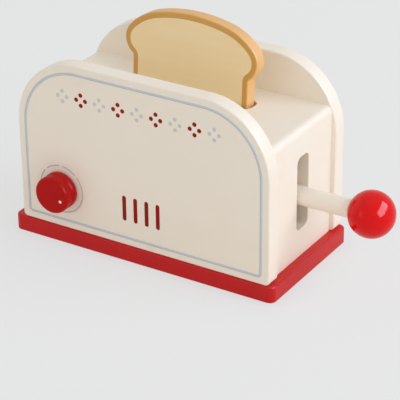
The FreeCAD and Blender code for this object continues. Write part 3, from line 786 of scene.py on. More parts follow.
@dataclass(frozen=True)
class Paint:
    """A coat of paint on smooth wood."""

    name: str
    colour: Colour
    shade: Colour
    worn: Colour
    roughness: float
    gloss: float = 0.5
    grain_shows: float = 0.12
    grain_stands: float = 2.0
    clouds_show: float = 0.5
    flecks_show: float = 0.12
    wear: float = 0.2
    dust: float = 0.15
    dust_colour: Colour = (214, 208, 198)
    skin: float = 0.6
    relief: Relief = Relief(1.0, 0.00002)
    cloud_roughness: float = 0.08
    dust_roughness: float = 0.3
    polish: float = 0.05

    def material(self, grain: Grain = Grain.ALONG_X) -> bpy.types.Material:
        """Makes the paint's material.

        Args:
            grain: Which way the grain of the painted board runs.

        Returns:
            The material.
        """
        made, wires = start_material(f"{self.name}_{grain.name.lower()}")
        place = grain_place(wires, grain)
        wood = wires.place(board_grain(), {"Place": place})
        drift = wires.place(colour_drift(), {"Place": place})
        rub = wires.add("ShaderNodeAttribute", attribute_name=RUB).outputs["Fac"]
        wear = wires.place(edge_wear(), {"Place": place, "Rub": rub, "Amount": self.wear})
        dust = wires.place(fine_dust(), {"Place": place, "Amount": self.dust})
        clouds = drift.outputs["Clouds"]
        tone = wires.sum_up("MULTIPLY_ADD", wood.outputs["Figure"], self.grain_shows,
                            wires.sum_up("MULTIPLY", clouds, self.clouds_show))
        tone = wires.sum_up("MULTIPLY_ADD", drift.outputs["Flecks"], self.flecks_show, tone)
        colour = wires.blend(tone, paint_colour(self.colour), paint_colour(self.shade))
        colour = wires.blend(wear.outputs["Mask"], colour, paint_colour(self.worn))
        colour = wires.blend(dust.outputs["Mask"], colour, paint_colour(self.dust_colour))
        rough = wires.sum_up("MULTIPLY_ADD", clouds, self.cloud_roughness,
                             self.roughness - self.cloud_roughness / 2)
        rough = wires.sum_up("MULTIPLY_ADD", dust.outputs["Mask"], self.dust_roughness, rough)
        rough = wires.sum_up("MULTIPLY_ADD", wear.outputs["Polish"], -self.polish, rough)
        film = wires.place(film_relief(), {"Place": place, "Skin": self.skin,
                                           "Fibres": wood.outputs["Fibres"],
                                           "Grain": self.grain_shows * self.grain_stands})
        end_material(wires, {"Base Color": colour, "Roughness": rough}, film.outputs["Height"],
                     self.relief, {"Specular IOR Level": self.gloss})
        return made


@dataclass(frozen=True)
class BareWood:
    """Sanded wood with its grain in view."""

    name: str
    early: Colour
    late: Colour
    roughness: float = 0.62
    gloss: float = 0.35
    figure_scale: float = 55.0
    figure_shows: float = 0.4
    fibres_show: float = 0.35
    cloud_scale: float = 25.0
    clouds_show: float = 0.25
    dust: float = 0.25
    dust_colour: Colour = (205, 198, 186)
    relief: Relief = Relief(0.6, 0.00006)
    fibre_roughness: float = 0.14

    def material(self, grain: Grain = Grain.ALONG_X) -> bpy.types.Material:
        """Makes the wood's material.

        Args:
            grain: Which way the piece's grain runs.

        Returns:
            The material.
        """
        made, wires = start_material(f"{self.name}_{grain.name.lower()}")
        place = grain_place(wires, grain)
        wood = wires.place(board_grain(), {"Place": place, "Figure Scale": self.figure_scale})
        drift = wires.place(colour_drift(), {"Place": place, "Cloud Scale": self.cloud_scale})
        dust = wires.place(fine_dust(), {"Place": place, "Amount": self.dust})
        fibres = wood.outputs["Fibres"]
        tone = wires.sum_up("MULTIPLY_ADD", wood.outputs["Figure"], self.figure_shows,
                            wires.sum_up("MULTIPLY", fibres, self.fibres_show))
        tone = wires.sum_up("MULTIPLY_ADD", drift.outputs["Clouds"], self.clouds_show, tone)
        colour = wires.blend(tone, paint_colour(self.early), paint_colour(self.late))
        colour = wires.blend(dust.outputs["Mask"], colour, paint_colour(self.dust_colour))
        rough = wires.sum_up("MULTIPLY_ADD", fibres, self.fibre_roughness,
                             self.roughness - self.fibre_roughness / 2)
        end_material(wires, {"Base Color": colour, "Roughness": rough}, fibres, self.relief,
                     {"Specular IOR Level": self.gloss})
        return made


@dataclass(frozen=True)
class EvenFinish:
    """An even finish that drifts in clouds and flecks: printing ink, plating or moulded plastic."""

    name: str
    colour: Colour
    other: Colour
    gloss: float = 0.35
    metallic: float = 0.0
    cloud_scale: float = 90.0
    fleck_scale: float = 1600.0
    clouds_show: float = 0.45
    flecks_show: float = 0.35
    smoothest: float = 0.45
    fleck_roughness: float = 0.1
    relief: Relief = Relief(0.5, 0.00002)

    def material(self) -> bpy.types.Material:
        """Makes the finish's material.

        Returns:
            The material.
        """
        made, wires = start_material(self.name)
        place = wires.add("ShaderNodeTexCoord").outputs["Object"]
        drift = wires.place(colour_drift(), {"Place": place, "Cloud Scale": self.cloud_scale,
                                             "Fleck Scale": self.fleck_scale})
        flecks = drift.outputs["Flecks"]
        tone = wires.sum_up("MULTIPLY_ADD", drift.outputs["Clouds"], self.clouds_show,
                            wires.sum_up("MULTIPLY", flecks, self.flecks_show))
        colour = wires.blend(tone, paint_colour(self.colour), paint_colour(self.other))
        rough = wires.sum_up("MULTIPLY_ADD", flecks, self.fleck_roughness, self.smoothest)
        end_material(wires, {"Base Color": colour, "Roughness": rough}, flecks, self.relief,
                     {"Specular IOR Level": self.gloss, "Metallic": self.metallic})
        return made


CREAM = Paint("cream_paint", (250, 242, 228), (246, 235, 216), (226, 203, 166), 0.42, wear=0.12)
RED = Paint("red_paint", (207, 13, 15), (193, 10, 12), (214, 150, 110), 0.38, gloss=0.28,
            wear=0.12, dust=0.06)
KNOB_RED = Paint("knob_paint", (190, 12, 10), (178, 9, 8), (210, 140, 100), 0.34, gloss=0.12,
                 wear=0.1, dust=0.05)
BALL_RED = Paint("ball_lacquer", (230, 8, 14), (216, 6, 10), (214, 120, 90), 0.11, gloss=0.19,
                 grain_shows=0.04, wear=0.0, dust=0.04, skin=0.2)
ROD_CREAM = Paint("rod_paint", (250, 242, 228), (244, 233, 214), (220, 196, 158), 0.45, wear=0.1)
CRUST = Paint("toast_crust", (220, 166, 84), (208, 153, 74), (230, 196, 140), 0.5,
              grain_shows=0.2, wear=0.0, dust=0.1)
CRUST_SIDE = Paint("toast_edge", (238, 188, 120), (228, 177, 108), (244, 212, 160), 0.5,
                   grain_shows=0.25, wear=0.14, dust=0.1)
CRUMB = Paint("toast_crumb", (254, 232, 184), (250, 222, 170), (230, 206, 164), 0.55,
              grain_shows=0.35, wear=0.0, dust=0.1)
LIFT_WOOD = BareWood("lift_wood", (222, 190, 142), (190, 150, 100))
BEECH = BareWood("beech_wood", (226, 196, 152), (198, 160, 112), figure_scale=90.0)
STRIPE_INK = EvenFinish("stripe_ink", (199, 210, 218), (213, 220, 223))
BLUE_INK = EvenFinish("blue_dot_ink", (204, 207, 208), (218, 219, 217))
RED_INK = EvenFinish("red_dot_ink", (144, 16, 10), (156, 31, 22), gloss=0.12)
DIAL_INK = EvenFinish("dial_ink", (186, 194, 200), (203, 207, 208))
# The near-white ink of the small dot on the knob's face
KNOB_SPOT_INK = EvenFinish("knob_spot_ink", (250, 244, 232), (244, 236, 222))
SCREW_STEEL = EvenFinish("screw_steel", (196, 192, 182), (160, 158, 152), gloss=0.5, metallic=1.0,
                         cloud_scale=300.0, fleck_scale=2500.0, clouds_show=1.0, flecks_show=0.0,
                         smoothest=0.24, fleck_roughness=0.18, relief=Relief(0.4, 0.00001))
WASHER_PLASTIC = EvenFinish("washer_plastic", (222, 219, 211), (206, 202, 193), gloss=0.5,
                            cloud_scale=120.0, fleck_scale=700.0, clouds_show=1.0,
                            flecks_show=0.0, smoothest=0.44, fleck_roughness=0.12)


# ---------------------------------------------------------------------------------------------
# Copies and ribbons made by Geometry Nodes
# ---------------------------------------------------------------------------------------------

# The share of its height above the paint that a printed spot has at its rim, and how far in it
# reaches the whole height
INK_RIM = 0.4
INK_SLOPE = 0.18


def end_tree(wires: Wires, shape: bpy.types.NodeSocket, finish: bpy.types.NodeSocket,
             end: bpy.types.Node) -> bpy.types.NodeTree:
    """Ends a tree: its copies become real and get their finish.

    Args:
        wires: The tree's wires.
        shape: The geometry so far.
        finish: The material.
        end: The tree's output node.

    Returns:
        The tree.
    """
    real = wires.add("GeometryNodeRealizeInstances", {"Geometry": shape}).outputs[0]
    done = wires.add("GeometryNodeSetMaterial", {"Geometry": real, "Material": finish}).outputs[0]
    return wires.give(end, {"Geometry": done})


@functools.cache
def row_of_copies() -> bpy.types.NodeTree:
    """Makes the tree that sets a shape in a centred row.

    Returns:
        The tree.
    """
    wires, given, end = start_group(
        "row_of_copies", "GeometryNodeTree",
        {"Geometry": ("Geometry", None), "Count": ("Int", 2), "Step": ("Vector", (0.01, 0, 0)),
         "Finish": ("Material", None)},
        {"Geometry": "Geometry"},
    )
    gaps = wires.sum_up("SUBTRACT", given["Count"], 1.0)
    back = wires.add("ShaderNodeVectorMath",
                     {0: given["Step"], "Scale": wires.sum_up("MULTIPLY", gaps, -0.5)},
                     operation="SCALE").outputs[0]
    row = wires.add("GeometryNodeMeshLine", {"Count": given["Count"], "Start Location": back,
                                             "Offset": given["Step"]}, mode="OFFSET")
    copies = wires.add("GeometryNodeInstanceOnPoints", {"Points": row.outputs[0],
                                                        "Instance": given["Geometry"]})
    return end_tree(wires, copies.outputs[0], given["Finish"], end)


@functools.cache
def oval_of_copies() -> bpy.types.NodeTree:
    """Makes the tree that sets a shape round an upright oval that faces the front.

    Returns:
        The tree.
    """
    wires, given, end = start_group(
        "oval_of_copies", "GeometryNodeTree",
        {"Geometry": ("Geometry", None), "Count": ("Int", 4), "Across": ("Float", 0.003),
         "Up": ("Float", 0.004), "Finish": ("Material", None)},
        {"Geometry": "Geometry"},
    )
    ring = wires.add("GeometryNodeMeshCircle", {"Vertices": given["Count"], "Radius": 1.0},
                     fill_type="NONE").outputs[0]
    size = wires.add("ShaderNodeCombineXYZ", {0: given["Across"], 1: given["Up"], 2: 1.0})
    oval = wires.add("GeometryNodeTransform", {"Geometry": ring, "Scale": size.outputs[0]})
    stood = wires.add("GeometryNodeTransform", {"Geometry": oval.outputs[0],
                                                "Rotation": (math.pi / 2, 0, 0)})
    copies = wires.add("GeometryNodeInstanceOnPoints", {"Points": stood.outputs[0],
                                                        "Instance": given["Geometry"]})
    return end_tree(wires, copies.outputs[0], given["Finish"], end)


@functools.cache
def ribbon_on_path() -> bpy.types.NodeTree:
    """Makes the tree that lays a flat printed line along a path on the drawing plane.

    Returns:
        The tree.
    """
    wires, given, end = start_group(
        "ribbon_on_path", "GeometryNodeTree",
        {"Geometry": ("Geometry", None), "Width": ("Float", 0.002), "Film": ("Float", 0.0002),
         "Finish": ("Material", None)},
        {"Geometry": "Geometry"},
    )
    flat = wires.add("GeometryNodeSetCurveNormal", {"Curve": given["Geometry"]}, mode="Z_UP")
    section = wires.add("GeometryNodeCurvePrimitiveQuadrilateral",
                        {"Width": given["Width"], "Height": given["Film"]}, mode="RECTANGLE")
    line = wires.add("GeometryNodeCurveToMesh", {"Curve": flat.outputs[0],
                                                 "Profile Curve": section.outputs[0],
                                                 "Fill Caps": True})
    return end_tree(wires, line.outputs[0], given["Finish"], end)


def run_tree(source: bpy.types.Object, tree: bpy.types.NodeTree,
             values: dict[str, object]) -> bpy.types.Mesh:
    """Runs a tree on an object and keeps the result as a plain mesh.

    Args:
        source: The object, which is removed.
        tree: The tree.
        values: The tree's inputs by name.

    Returns:
        The new mesh.
    """
    modifier = source.modifiers.new(tree.name, "NODES")
    modifier.node_group = tree
    for item in tree.interface.items_tree:
        if item.in_out == "INPUT" and item.name in values:
            modifier[item.identifier] = values[item.name]
    bpy.context.view_layer.update()
    depsgraph = bpy.context.evaluated_depsgraph_get()
    mesh = bpy.data.meshes.new_from_object(source.evaluated_get(depsgraph))
    source.modifiers.clear()
    bpy.data.objects.remove(source)
    return mesh


def in_a_row(source: bpy.types.Object, count: int, step: tuple[float, float, float],
             finish: bpy.types.Material) -> bpy.types.Mesh:
    """Sets copies of an object in a centred row."""
    values = {"Count": count, "Step": tuple(way * MM for way in step), "Finish": finish}
    return run_tree(source, row_of_copies(), values)


def lay_ribbon(name: str, paths: Sequence[Sequence[TracePoint]], width: float, film: float,
               plane: Matrix, ink: bpy.types.Material, closed: bool = False) -> bpy.types.Object:
    """Prints lines along paths.

    Args:
        name: The piece's name.
        paths: The paths on the drawing plane.
        width: The lines' width.
        film: The thickness of the ink, half of it sunk below the plane.
        plane: The drawing plane.
        ink: The ink.
        closed: Whether each path is a closed loop.

    Returns:
        The printed piece.
    """
    curve = bpy.data.curves.new(name, "CURVE")
    curve.dimensions = "3D"
    for path in paths:
        places = [p for i, p in enumerate(path) if i == 0 or not p.at(path[i - 1])]
        if closed and places[0].at(places[-1]):
            places.pop()
        spline = curve.splines.new("POLY")
        spline.points.add(len(places) - 1)
        for target, point in zip(spline.points, places):
            target.co = (point.x * MM, point.y * MM, 0, 1)
        spline.use_cyclic_u = closed
    values = {"Width": width * MM, "Film": film * MM, "Finish": ink}
    mesh = run_tree(new_object(f"{name}_path", curve), ribbon_on_path(), values)
    place = plane.copy()
    place.translation *= MM
    mesh.transform(place)
    mesh.name = name
    return new_object(name, mesh)


def printed_spot(name: str, outline: Sequence[TracePoint], film: float) -> bpy.types.Object:
    """Makes one printed spot that faces the front: flat on top, thin at its rim and half sunk.

    Args:
        name: The object's name.
        outline: Its outline.
        film: The thickness of the ink, half of it sunk below the plane.

    Returns:
        The spot, at the origin.
    """
    draft = MeshDraft()
    half = film / 2
    section = [TracePoint(0, -half, 1, 0), TracePoint(0, half * INK_RIM, 1, 0),
               TracePoint(-INK_SLOPE, half, 0, 1)]
    below, above = draft.sweep(outline, section, upright())
    draft.fill([below], TO_BACK)
    draft.fill([above], TO_FRONT)
    return draft.build(name, [])


# ---------------------------------------------------------------------------------------------
# The toaster's sub-assemblies
# ---------------------------------------------------------------------------------------------


@dataclass
class Housing:
    """The base, the two end boards and the box between them."""

    base_left: float = -107.3
    base_right: float = 103.6
    base_depth: float = 52.0
    base_height: float = 12.0
    base_corner: float = 5.0
    base_top_edge: float = 1.3
    base_foot_edge: float = 0.8
    screw_x: float = 65.0
    screw_y: float = 45.0
    screw_mouth: float = 3.65
    screw_bore: float = 1.8
    panel_half: float = 100.0
    panel_top: float = 136.8
    panel_inner: float = 39.0
    panel_outer: float = 51.0
    panel_shoulder: float = 50.0
    panel_foot: float = 3.5
    panel_edge: float = 1.2
    axle_x: float = -65.5
    axle_z: float = 41.8
    axle_bore: float = 4.3
    axle_bore_edge: float = 0.3
    axle_bore_step: float = 10.0
    side_outer: float = 96.5
    side_inner: float = 84.5
    side_top: float = 94.8
    top_face: float = 106.8
    top_edge: float = 5.0
    bread_half: float = 50.75
    bread_near: float = 5.47
    bread_far: float = 20.27
    bread_corner: float = 5.0
    bread_rim: float = 0.8
    bread_fringe: float = 0.8
    lever_half: float = 7.75
    lever_low: float = 32.0
    lever_high: float = 86.5
    lever_corner: float = 4.8
    lever_rim: float = 0.6
    lever_fringe: float = 1.0

    def build(self) -> None:
        """Builds and settles every board."""
        self.base_board()
        cream = CREAM.material(Grain.ALONG_X)
        self.end_board("front_board", -1, "front_panel", cream)
        self.end_board("back_board", 1, "back_panel", cream)
        side_cream = CREAM.material(Grain.ALONG_Y)
        self.side_board("left_side_board", -self.side_outer, "left_side_panel", side_cream)
        self.side_board("right_side_board", self.side_inner, "right_side_panel", side_cream)
        self.top_board(side_cream)

    def base_board(self) -> None:
        """Builds the base, eased all round, with a countersink for each screw below."""
        draft = MeshDraft()
        outline = box_outline(self.base_left, self.base_right, -self.base_depth, self.base_depth,
                              self.base_corner)
        section = board_edge(self.base_height, self.base_foot_edge, self.base_top_edge)
        below, above = draft.sweep(outline, section, level())
        draft.fill([above], UP)
        rings = [below]
        sink = self.screw_mouth - self.screw_bore
        cone = trace([Corner(0, 0), Corner(sink, sink), Corner(self.screw_mouth, sink)],
                     closed=False)
        for x in (-self.screw_x, self.screw_x):
            for y in (-self.screw_y, self.screw_y):
                mouth = hole(round_outline(x, y, self.screw_mouth, EDGE_STEP))
                rings.append(draft.sweep(mouth, cone, level())[0])
        draft.fill(rings, DOWN)
        piece = draft.build("base_board", [RED.material(Grain.ALONG_X)])
        settle(piece, "housing", "red_paint", "base_plate")

    def end_board(self, name: str, side: int, node: str, paint: bpy.types.Material) -> None:
        """Builds a round-shouldered end board. The front one is bored for the knob's axle.

        Args:
            name: The piece's name.
            side: -1 for the front board and 1 for the back one.
            node: The CAD node that it stands for.
            paint: Its paint.
        """
        half, low, high = self.panel_half, self.base_height, self.panel_top
        outline = trace([Corner(-half, low, self.panel_foot), Corner(half, low, self.panel_foot),
                         Corner(half, high, self.panel_shoulder),
                         Corner(-half, high, self.panel_shoulder)], step=FINE_STEP)
        thickness = self.panel_outer - self.panel_inner
        shapes = [(outline, board_edge(thickness, self.panel_edge, self.panel_edge))]
        if side < 0:
            bore = round_outline(self.axle_x, self.axle_z, self.axle_bore, self.axle_bore_step)
            eased = self.axle_bore_edge
            shapes.append((hole(bore), board_edge(thickness, eased, eased, fringe=0.0)))
        plane = upright(-self.panel_inner if side < 0 else self.panel_outer)
        self.upright_board(name, node, shapes, plane, paint)

    def side_board(self, name: str, x: float, node: str, paint: bpy.types.Material) -> None:
        """Builds a side board. The right one has the slot that the lever runs in.

        Args:
            name: The piece's name.
            x: Where its left face is.
            node: The CAD node that it stands for.
            paint: Its paint.
        """
        thickness = self.side_outer - self.side_inner
        outline = box_outline(-self.panel_inner, self.panel_inner, self.base_height,
                              self.side_top)
        shapes = [(outline, board_edge(thickness, 0, 0, fringe=0.0))]
        if x > 0:
            slot = box_outline(-self.lever_half, self.lever_half, self.lever_low,
                               self.lever_high, self.lever_corner, SLOT_STEP)
            shapes.append((hole(slot), board_edge(thickness, self.lever_rim, self.lever_rim,
                                                  fringe=self.lever_fringe)))
        self.upright_board(name, node, shapes, sideways(x), paint)

    @staticmethod
    def upright_board(name: str, node: str,
                      shapes: Sequence[tuple[list[TracePoint], list[TracePoint]]],
                      plane: Matrix, paint: bpy.types.Material) -> None:
        """Builds a flat board with cream paint and settles it.

        Args:
            name: The piece's name.
            node: The CAD node that it stands for.
            shapes: The board's outline and the section of its edge, then the same for a hole.
            plane: The drawing plane, on the board's first face.
            paint: Its paint.
        """
        draft = MeshDraft()
        rings = [draft.sweep(outline, section, plane) for outline, section in shapes]
        facing = plane.to_3x3() @ UP
        draft.fill([first for first, last in rings], -facing)
        draft.fill([last for first, last in rings], facing)
        settle(draft.build(name, [paint]), "housing", "cream_paint", node)

    def top_board(self, paint: bpy.types.Material) -> None:
        """Builds the top board with its two rounded edges and two bread slots.

        Args:
            paint: Its paint.
        """
        draft = MeshDraft()
        depth = self.panel_inner
        side, low, high = self.side_outer, self.side_top, self.top_face
        outline = trace([Corner(-side, low), Corner(side, low), Corner(side, high, self.top_edge),
                         Corner(-side, high, self.top_edge)])
        ends = [TracePoint(0, 0, 1, 0), TracePoint(0, depth * 2, 1, 0)]
        back, front = draft.sweep(outline, ends, upright(depth),
                                  leave_out=lambda point: abs(point.out_y) > ALIGNED)
        draft.fill([back], TO_BACK)
        draft.fill([front], TO_FRONT)
        flat = side - self.top_edge
        faces = []
        for half, height in ((side, low), (flat, high)):
            corners = ((-half, -depth), (half, -depth), (half, depth), (-half, depth))
            faces.append([[draft.corner(Vector((x, y, height))) for x, y in corners]])
        section = board_edge(high - low, self.bread_rim, self.bread_rim,
                             fringe=self.bread_fringe)
        for near, far in ((-self.bread_far, -self.bread_near), (self.bread_near, self.bread_far)):
            slot = hole(box_outline(-self.bread_half, self.bread_half, near, far,
                                    self.bread_corner, SLOT_STEP))
            for face, rim in zip(faces, draft.sweep(slot, section, level(low))):
                face.append(rim)
        draft.fill(faces[0], DOWN)
        draft.fill(faces[1], UP)
        settle(draft.build("top_board", [paint]), "housing", "cream_paint", "top_panel")


@dataclass
class FrontPrint:
    """What is printed on the front board: a border, a band of dots, four bars and a dial ring."""

    face: float = 51.0
    film: float = 0.16
    border_inset: float = 6.2
    border_width: float = 1.9
    half: float = 100.0
    low: float = 12.0
    high: float = 136.8
    shoulder: float = 50.0
    border_foot: float = 2.2
    red_radius: float = 1.6
    blue_radius: float = 1.45
    dot_across: float = 3.6
    dot_up: float = 3.8
    dots_x: float = -1.5
    dots_z: float = 112.9
    cluster_pitch: float = 15.0
    cluster_dots: int = 4
    clusters: int = 9
    bar_count: int = 4
    bar_pitch: float = 9.0
    bar_low: float = 31.0
    bar_high: float = 50.0
    bar_width: float = 3.1
    dial_x: float = -65.7
    dial_z: float = 41.7
    dial_radius: float = 17.7
    dial_width: float = 0.85
    dial_gap: float = 4.0
    dial_step: float = 4.0
    dial_marks: tuple[float, ...] = (45.0, 90.0, 135.0, 405.0)

    def build(self) -> None:
        """Prints everything."""
        self.border()
        reds = self.clusters // 2
        self.dots("red_dots", reds, self.red_radius, RED_INK.material())
        self.dots("blue_dots", self.clusters - reds, self.blue_radius, BLUE_INK.material())
        self.bars()
        self.dial_ring()

    def border(self) -> None:
        """Prints the border that follows the board's outline."""
        inset = self.border_inset
        half, low, high = self.half - inset, self.low + inset, self.high - inset
        bend = self.shoulder - inset
        path = trace([Corner(-half, low, self.border_foot), Corner(half, low, self.border_foot),
                      Corner(half, high, bend), Corner(-half, high, bend)], step=FINE_STEP)
        piece = lay_ribbon("front_border", [path], self.border_width, self.film,
                           upright(-self.face), STRIPE_INK.material(), closed=True)
        settle(piece, "housing", "cream_paint")

    def dots(self, name: str, count: int, radius: float, ink: bpy.types.Material) -> None:
        """Prints every second cluster of the band of dots.

        Args:
            name: The piece's name.
            count: How many clusters.
            radius: A dot's radius.
            ink: The ink.
        """
        spot = printed_spot(f"{name}_spot", round_outline(0, 0, radius, SPECK_STEP), self.film)
        values = {"Count": self.cluster_dots, "Across": self.dot_across * MM,
                  "Up": self.dot_up * MM, "Finish": ink}
        cluster = new_object(f"{name}_cluster", run_tree(spot, oval_of_copies(), values))
        mesh = in_a_row(cluster, count, (self.cluster_pitch * 2, 0, 0), ink)
        self.put_on_face(mesh, self.dots_x, self.dots_z, name)

    def bars(self) -> None:
        """Prints the row of upright bars."""
        half = (self.bar_high - self.bar_low) / 2
        width = self.bar_width / 2
        outline = box_outline(-width, width, -half, half, width, SPECK_STEP)
        bar = printed_spot("front_bar", outline, self.film)
        mesh = in_a_row(bar, self.bar_count, (self.bar_pitch, 0, 0), RED_INK.material())
        self.put_on_face(mesh, 0.0, (self.bar_low + self.bar_high) / 2, "front_bars")

    def put_on_face(self, mesh: bpy.types.Mesh, x: float, z: float, name: str) -> None:
        """Moves printed spots onto the front face and settles them.

        Args:
            mesh: The spots, centred at the origin.
            x: Where their middle goes.
            z: How high it goes.
            name: The piece's name.
        """
        mesh.transform(Matrix.Translation(Vector((x, -self.face, z)) * MM))
        mesh.name = name
        settle(new_object(name, mesh), "housing", "cream_paint")

    def dial_ring(self) -> None:
        """Prints the fine ring round the knob, broken at its marks."""
        paths = []
        for start, end in zip(self.dial_marks, self.dial_marks[1:]):
            paths.append(arc((self.dial_x, self.dial_z), self.dial_radius, start + self.dial_gap,
                             end - self.dial_gap, self.dial_step))
        piece = lay_ribbon("dial_ring", paths, self.dial_width, self.film,
                           upright(-self.face), DIAL_INK.material())
        settle(piece, "housing", "cream_paint")


@dataclass
class TimerKnob:
    """The turned knob on its axle, with a small near-white dot on its face."""

    x: float = -65.5
    z: float = 41.8
    back: float = 51.95
    radius: float = 13.5
    waist: float = 12.4
    waist_bend: float = 3.2
    depth: float = 12.7
    flange: float = 3.2
    cove: float = 4.4
    back_edge: float = 0.66
    edge: float = 1.1
    face_edge: float = 2.4
    fringe: float = 0.05
    dot_radius: float = 1.15
    dot_x: float = 8.05
    dot_z: float = -2.3
    dot_film: float = 0.16

    def build(self) -> None:
        """Builds the knob and its dot and dresses its axle, washer and retainer."""
        draft = MeshDraft()
        middle = self.flange + self.cove / 2
        front = self.flange + self.cove
        corners = [
            Corner(-self.radius, 0), Corner(0, 0, self.back_edge),
            Corner(0, self.flange, self.edge),
            Corner(self.waist - self.radius, middle, self.waist_bend),
            Corner(0, front, self.edge), Corner(0, self.depth, self.face_edge),
            Corner(-self.radius, self.depth),
        ]
        section = trace(corners, closed=False, step=EDGE_STEP, fringe=self.fringe)
        outline = round_outline(self.x, self.z, self.radius, ROUND_STEP)
        draft.sweep(outline, section, upright(-self.back))
        piece = draft.build("timer_knob_turned", [KNOB_RED.material(Grain.ALONG_Y)])
        settle(piece, "knob", "knob_paint", "timer_knob")
        # A small near-white dot on the knob's face, below and right of its middle, that turns with
        # the knob
        spot = printed_spot("knob_face_spot", round_outline(0, 0, self.dot_radius, EDGE_STEP),
                            self.dot_film)
        spot.data.materials.append(KNOB_SPOT_INK.material())
        place = Vector((self.x + self.dot_x, -self.back - self.depth, self.z + self.dot_z))
        spot.data.transform(Matrix.Translation(place * MM))
        settle(spot, "knob", "cream_paint")
        beech = BEECH.material(Grain.ALONG_Y)
        dress("knob_axle", beech)
        dress("knob_retainer", beech)
        dress("knob_washer", WASHER_PLASTIC.material())


@dataclass
class Lever:
    """The rod with its ball, and the platform that it lifts."""

    rod_radius: float = 6.5
    rod_start: float = -60.0
    rod_end: float = 151.7
    rod_inner_edge: float = 0.8
    rod_outer_edge: float = 0.5
    rod_z: float = 56.35
    ball_x: float = 148.1
    ball_radius: float = 16.3
    bore_radius: float = 6.55
    bore_depth: float = 20.0

    def build(self) -> None:
        """Builds the rod and the ball and dresses the rest."""
        self.rod()
        self.ball()
        lift = LIFT_WOOD.material(Grain.ALONG_X)
        for node in ("lift_platform", "center_cleat", "outer_cleats"):
            dress(node, lift)

    def rod(self) -> None:
        """Builds the rod, eased at both ends."""
        draft = MeshDraft()
        length = self.rod_end - self.rod_start
        radius = self.rod_radius
        section = trace([Corner(-radius, 0), Corner(0, 0, self.rod_inner_edge),
                         Corner(0, length, self.rod_outer_edge), Corner(-radius, length)],
                        closed=False, step=EDGE_STEP)
        draft.sweep(round_outline(0, self.rod_z, radius, ROUND_STEP), section,
                    sideways(self.rod_start))
        piece = draft.build("lever_rod_painted", [ROD_CREAM.material(Grain.ALONG_X)])
        settle(piece, "lever", "rod_paint", "lever_rod")

    def ball(self) -> None:
        """Builds the ball, bored for the rod."""
        draft = MeshDraft()
        radius, bore = self.ball_radius, self.bore_radius
        floor = self.bore_depth - radius
        mouth = math.degrees(math.acos(bore / radius))
        inside = trace([Corner(-radius, floor), Corner(bore - radius, floor),
                        Corner(bore - radius, -radius * math.sin(math.radians(mouth)))],
                       closed=False)
        skin = arc((-radius, 0), radius, -mouth, 90.0, FINE_STEP)
        draft.sweep(round_outline(0, self.rod_z, radius, ROUND_STEP), inside + skin,
                    sideways(self.ball_x))
        piece = draft.build("lever_ball_lacquered", [BALL_RED.material(Grain.ALONG_X)])
        settle(piece, "lever", "ball_lacquer", "lever_ball")


@dataclass
class PlayToast:
    """The wooden slice that stands in the rear slot and leans back."""

    thickness: float = 10.5
    height: float = 91.5
    foot_half: float = 46.15
    foot_corner: float = 11.0
    neck_radius: float = 2.6
    crown_overhang: float = 6.5
    lobe_radius: float = 13.9
    lobe_drop: float = 25.5
    shoulder_radius: float = 42.2
    shoulder_drop: float = 44.5
    neck_step: float = 10.0
    lobe_step: float = 4.0
    crown_step: float = 2.0
    edge: float = 1.5
    side_from: float = 0.7
    crust: float = 4.3
    lean: float = 4.0
    x: float = 2.0
    y: float = 10.9
    z: float = 71.316

    def outline(self) -> list[TracePoint]:
        """Traces the slice: a straight-sided foot, a neck and a crown of tangent arcs.

        Returns:
            The outline, from the middle of the foot counter-clockwise.
        """
        lobe = Vector((self.foot_half + self.crown_overhang - self.lobe_radius,
                       self.height - self.lobe_drop))
        between = self.shoulder_radius - self.lobe_radius
        shoulder_y = self.height - self.shoulder_drop
        shoulder = Vector((lobe.x - math.sqrt(between ** 2 - (lobe.y - shoulder_y) ** 2),
                           shoulder_y))
        neck_x = self.foot_half + self.neck_radius
        reach = self.neck_radius + self.lobe_radius
        neck = Vector((neck_x, lobe.y - math.sqrt(reach ** 2 - (neck_x - lobe.x) ** 2)))
        rise = self.height - shoulder.y
        crown_radius = ((shoulder.x ** 2 + rise ** 2 - self.shoulder_radius ** 2)
                        / (2 * (rise - self.shoulder_radius)))
        crown = Vector((0, self.height - crown_radius))
        foot = (self.foot_half - self.foot_corner, self.foot_corner)
        to_lobe = bearing(neck, lobe)
        to_neck = bearing(lobe, neck)
        over_lobe = bearing(shoulder, lobe)
        over_shoulder = bearing(crown, shoulder)
        right = arc(foot, self.foot_corner, -90, 0)
        right += arc(tuple(neck), self.neck_radius, 180, to_lobe, self.neck_step, hollow=True)
        right += arc(tuple(lobe), self.lobe_radius, to_neck, over_lobe, self.lobe_step)
        right += arc(tuple(shoulder), self.shoulder_radius, over_lobe, over_shoulder, FINE_STEP)
        right += arc(tuple(crown), crown_radius, over_shoulder, 90, self.crown_step)
        left = [TracePoint(-p.x, p.y, -p.out_x, p.out_y) for p in reversed(right)]
        return right + left

    def build(self) -> None:
        """Builds the slice, with the crust's colour on its edge and round its faces."""
        draft = MeshDraft()
        side_finish, crust_finish, crumb_finish = range(3)
        lean = Matrix.Rotation(math.radians(-self.lean), 4, "X")
        foot = Matrix.Translation((self.x, self.y, self.z))
        plane = foot @ lean @ upright(self.thickness / 2)
        section = board_edge(self.thickness, self.edge, self.edge, reach=self.crust)
        outline = self.outline()
        side = [i for i, point in enumerate(section) if point.out_x > self.side_from]
        back = draft.sweep(outline, section[:side[0] + 1], plane, crust_finish)[0]
        draft.sweep(outline, section[side[0]:side[-1] + 1], plane, side_finish)
        front = draft.sweep(outline, section[side[-1]:], plane, crust_finish)[1]
        facing = plane.to_3x3() @ UP
        draft.fill([back], -facing, crumb_finish)
        draft.fill([front], facing, crumb_finish)
        finishes = [paint.material(Grain.ALONG_X) for paint in (CRUST_SIDE, CRUST, CRUMB)]
        piece = draft.build("toast_play_slice", finishes)
        settle(piece, "toast", "toast_paint", "toast_slice")


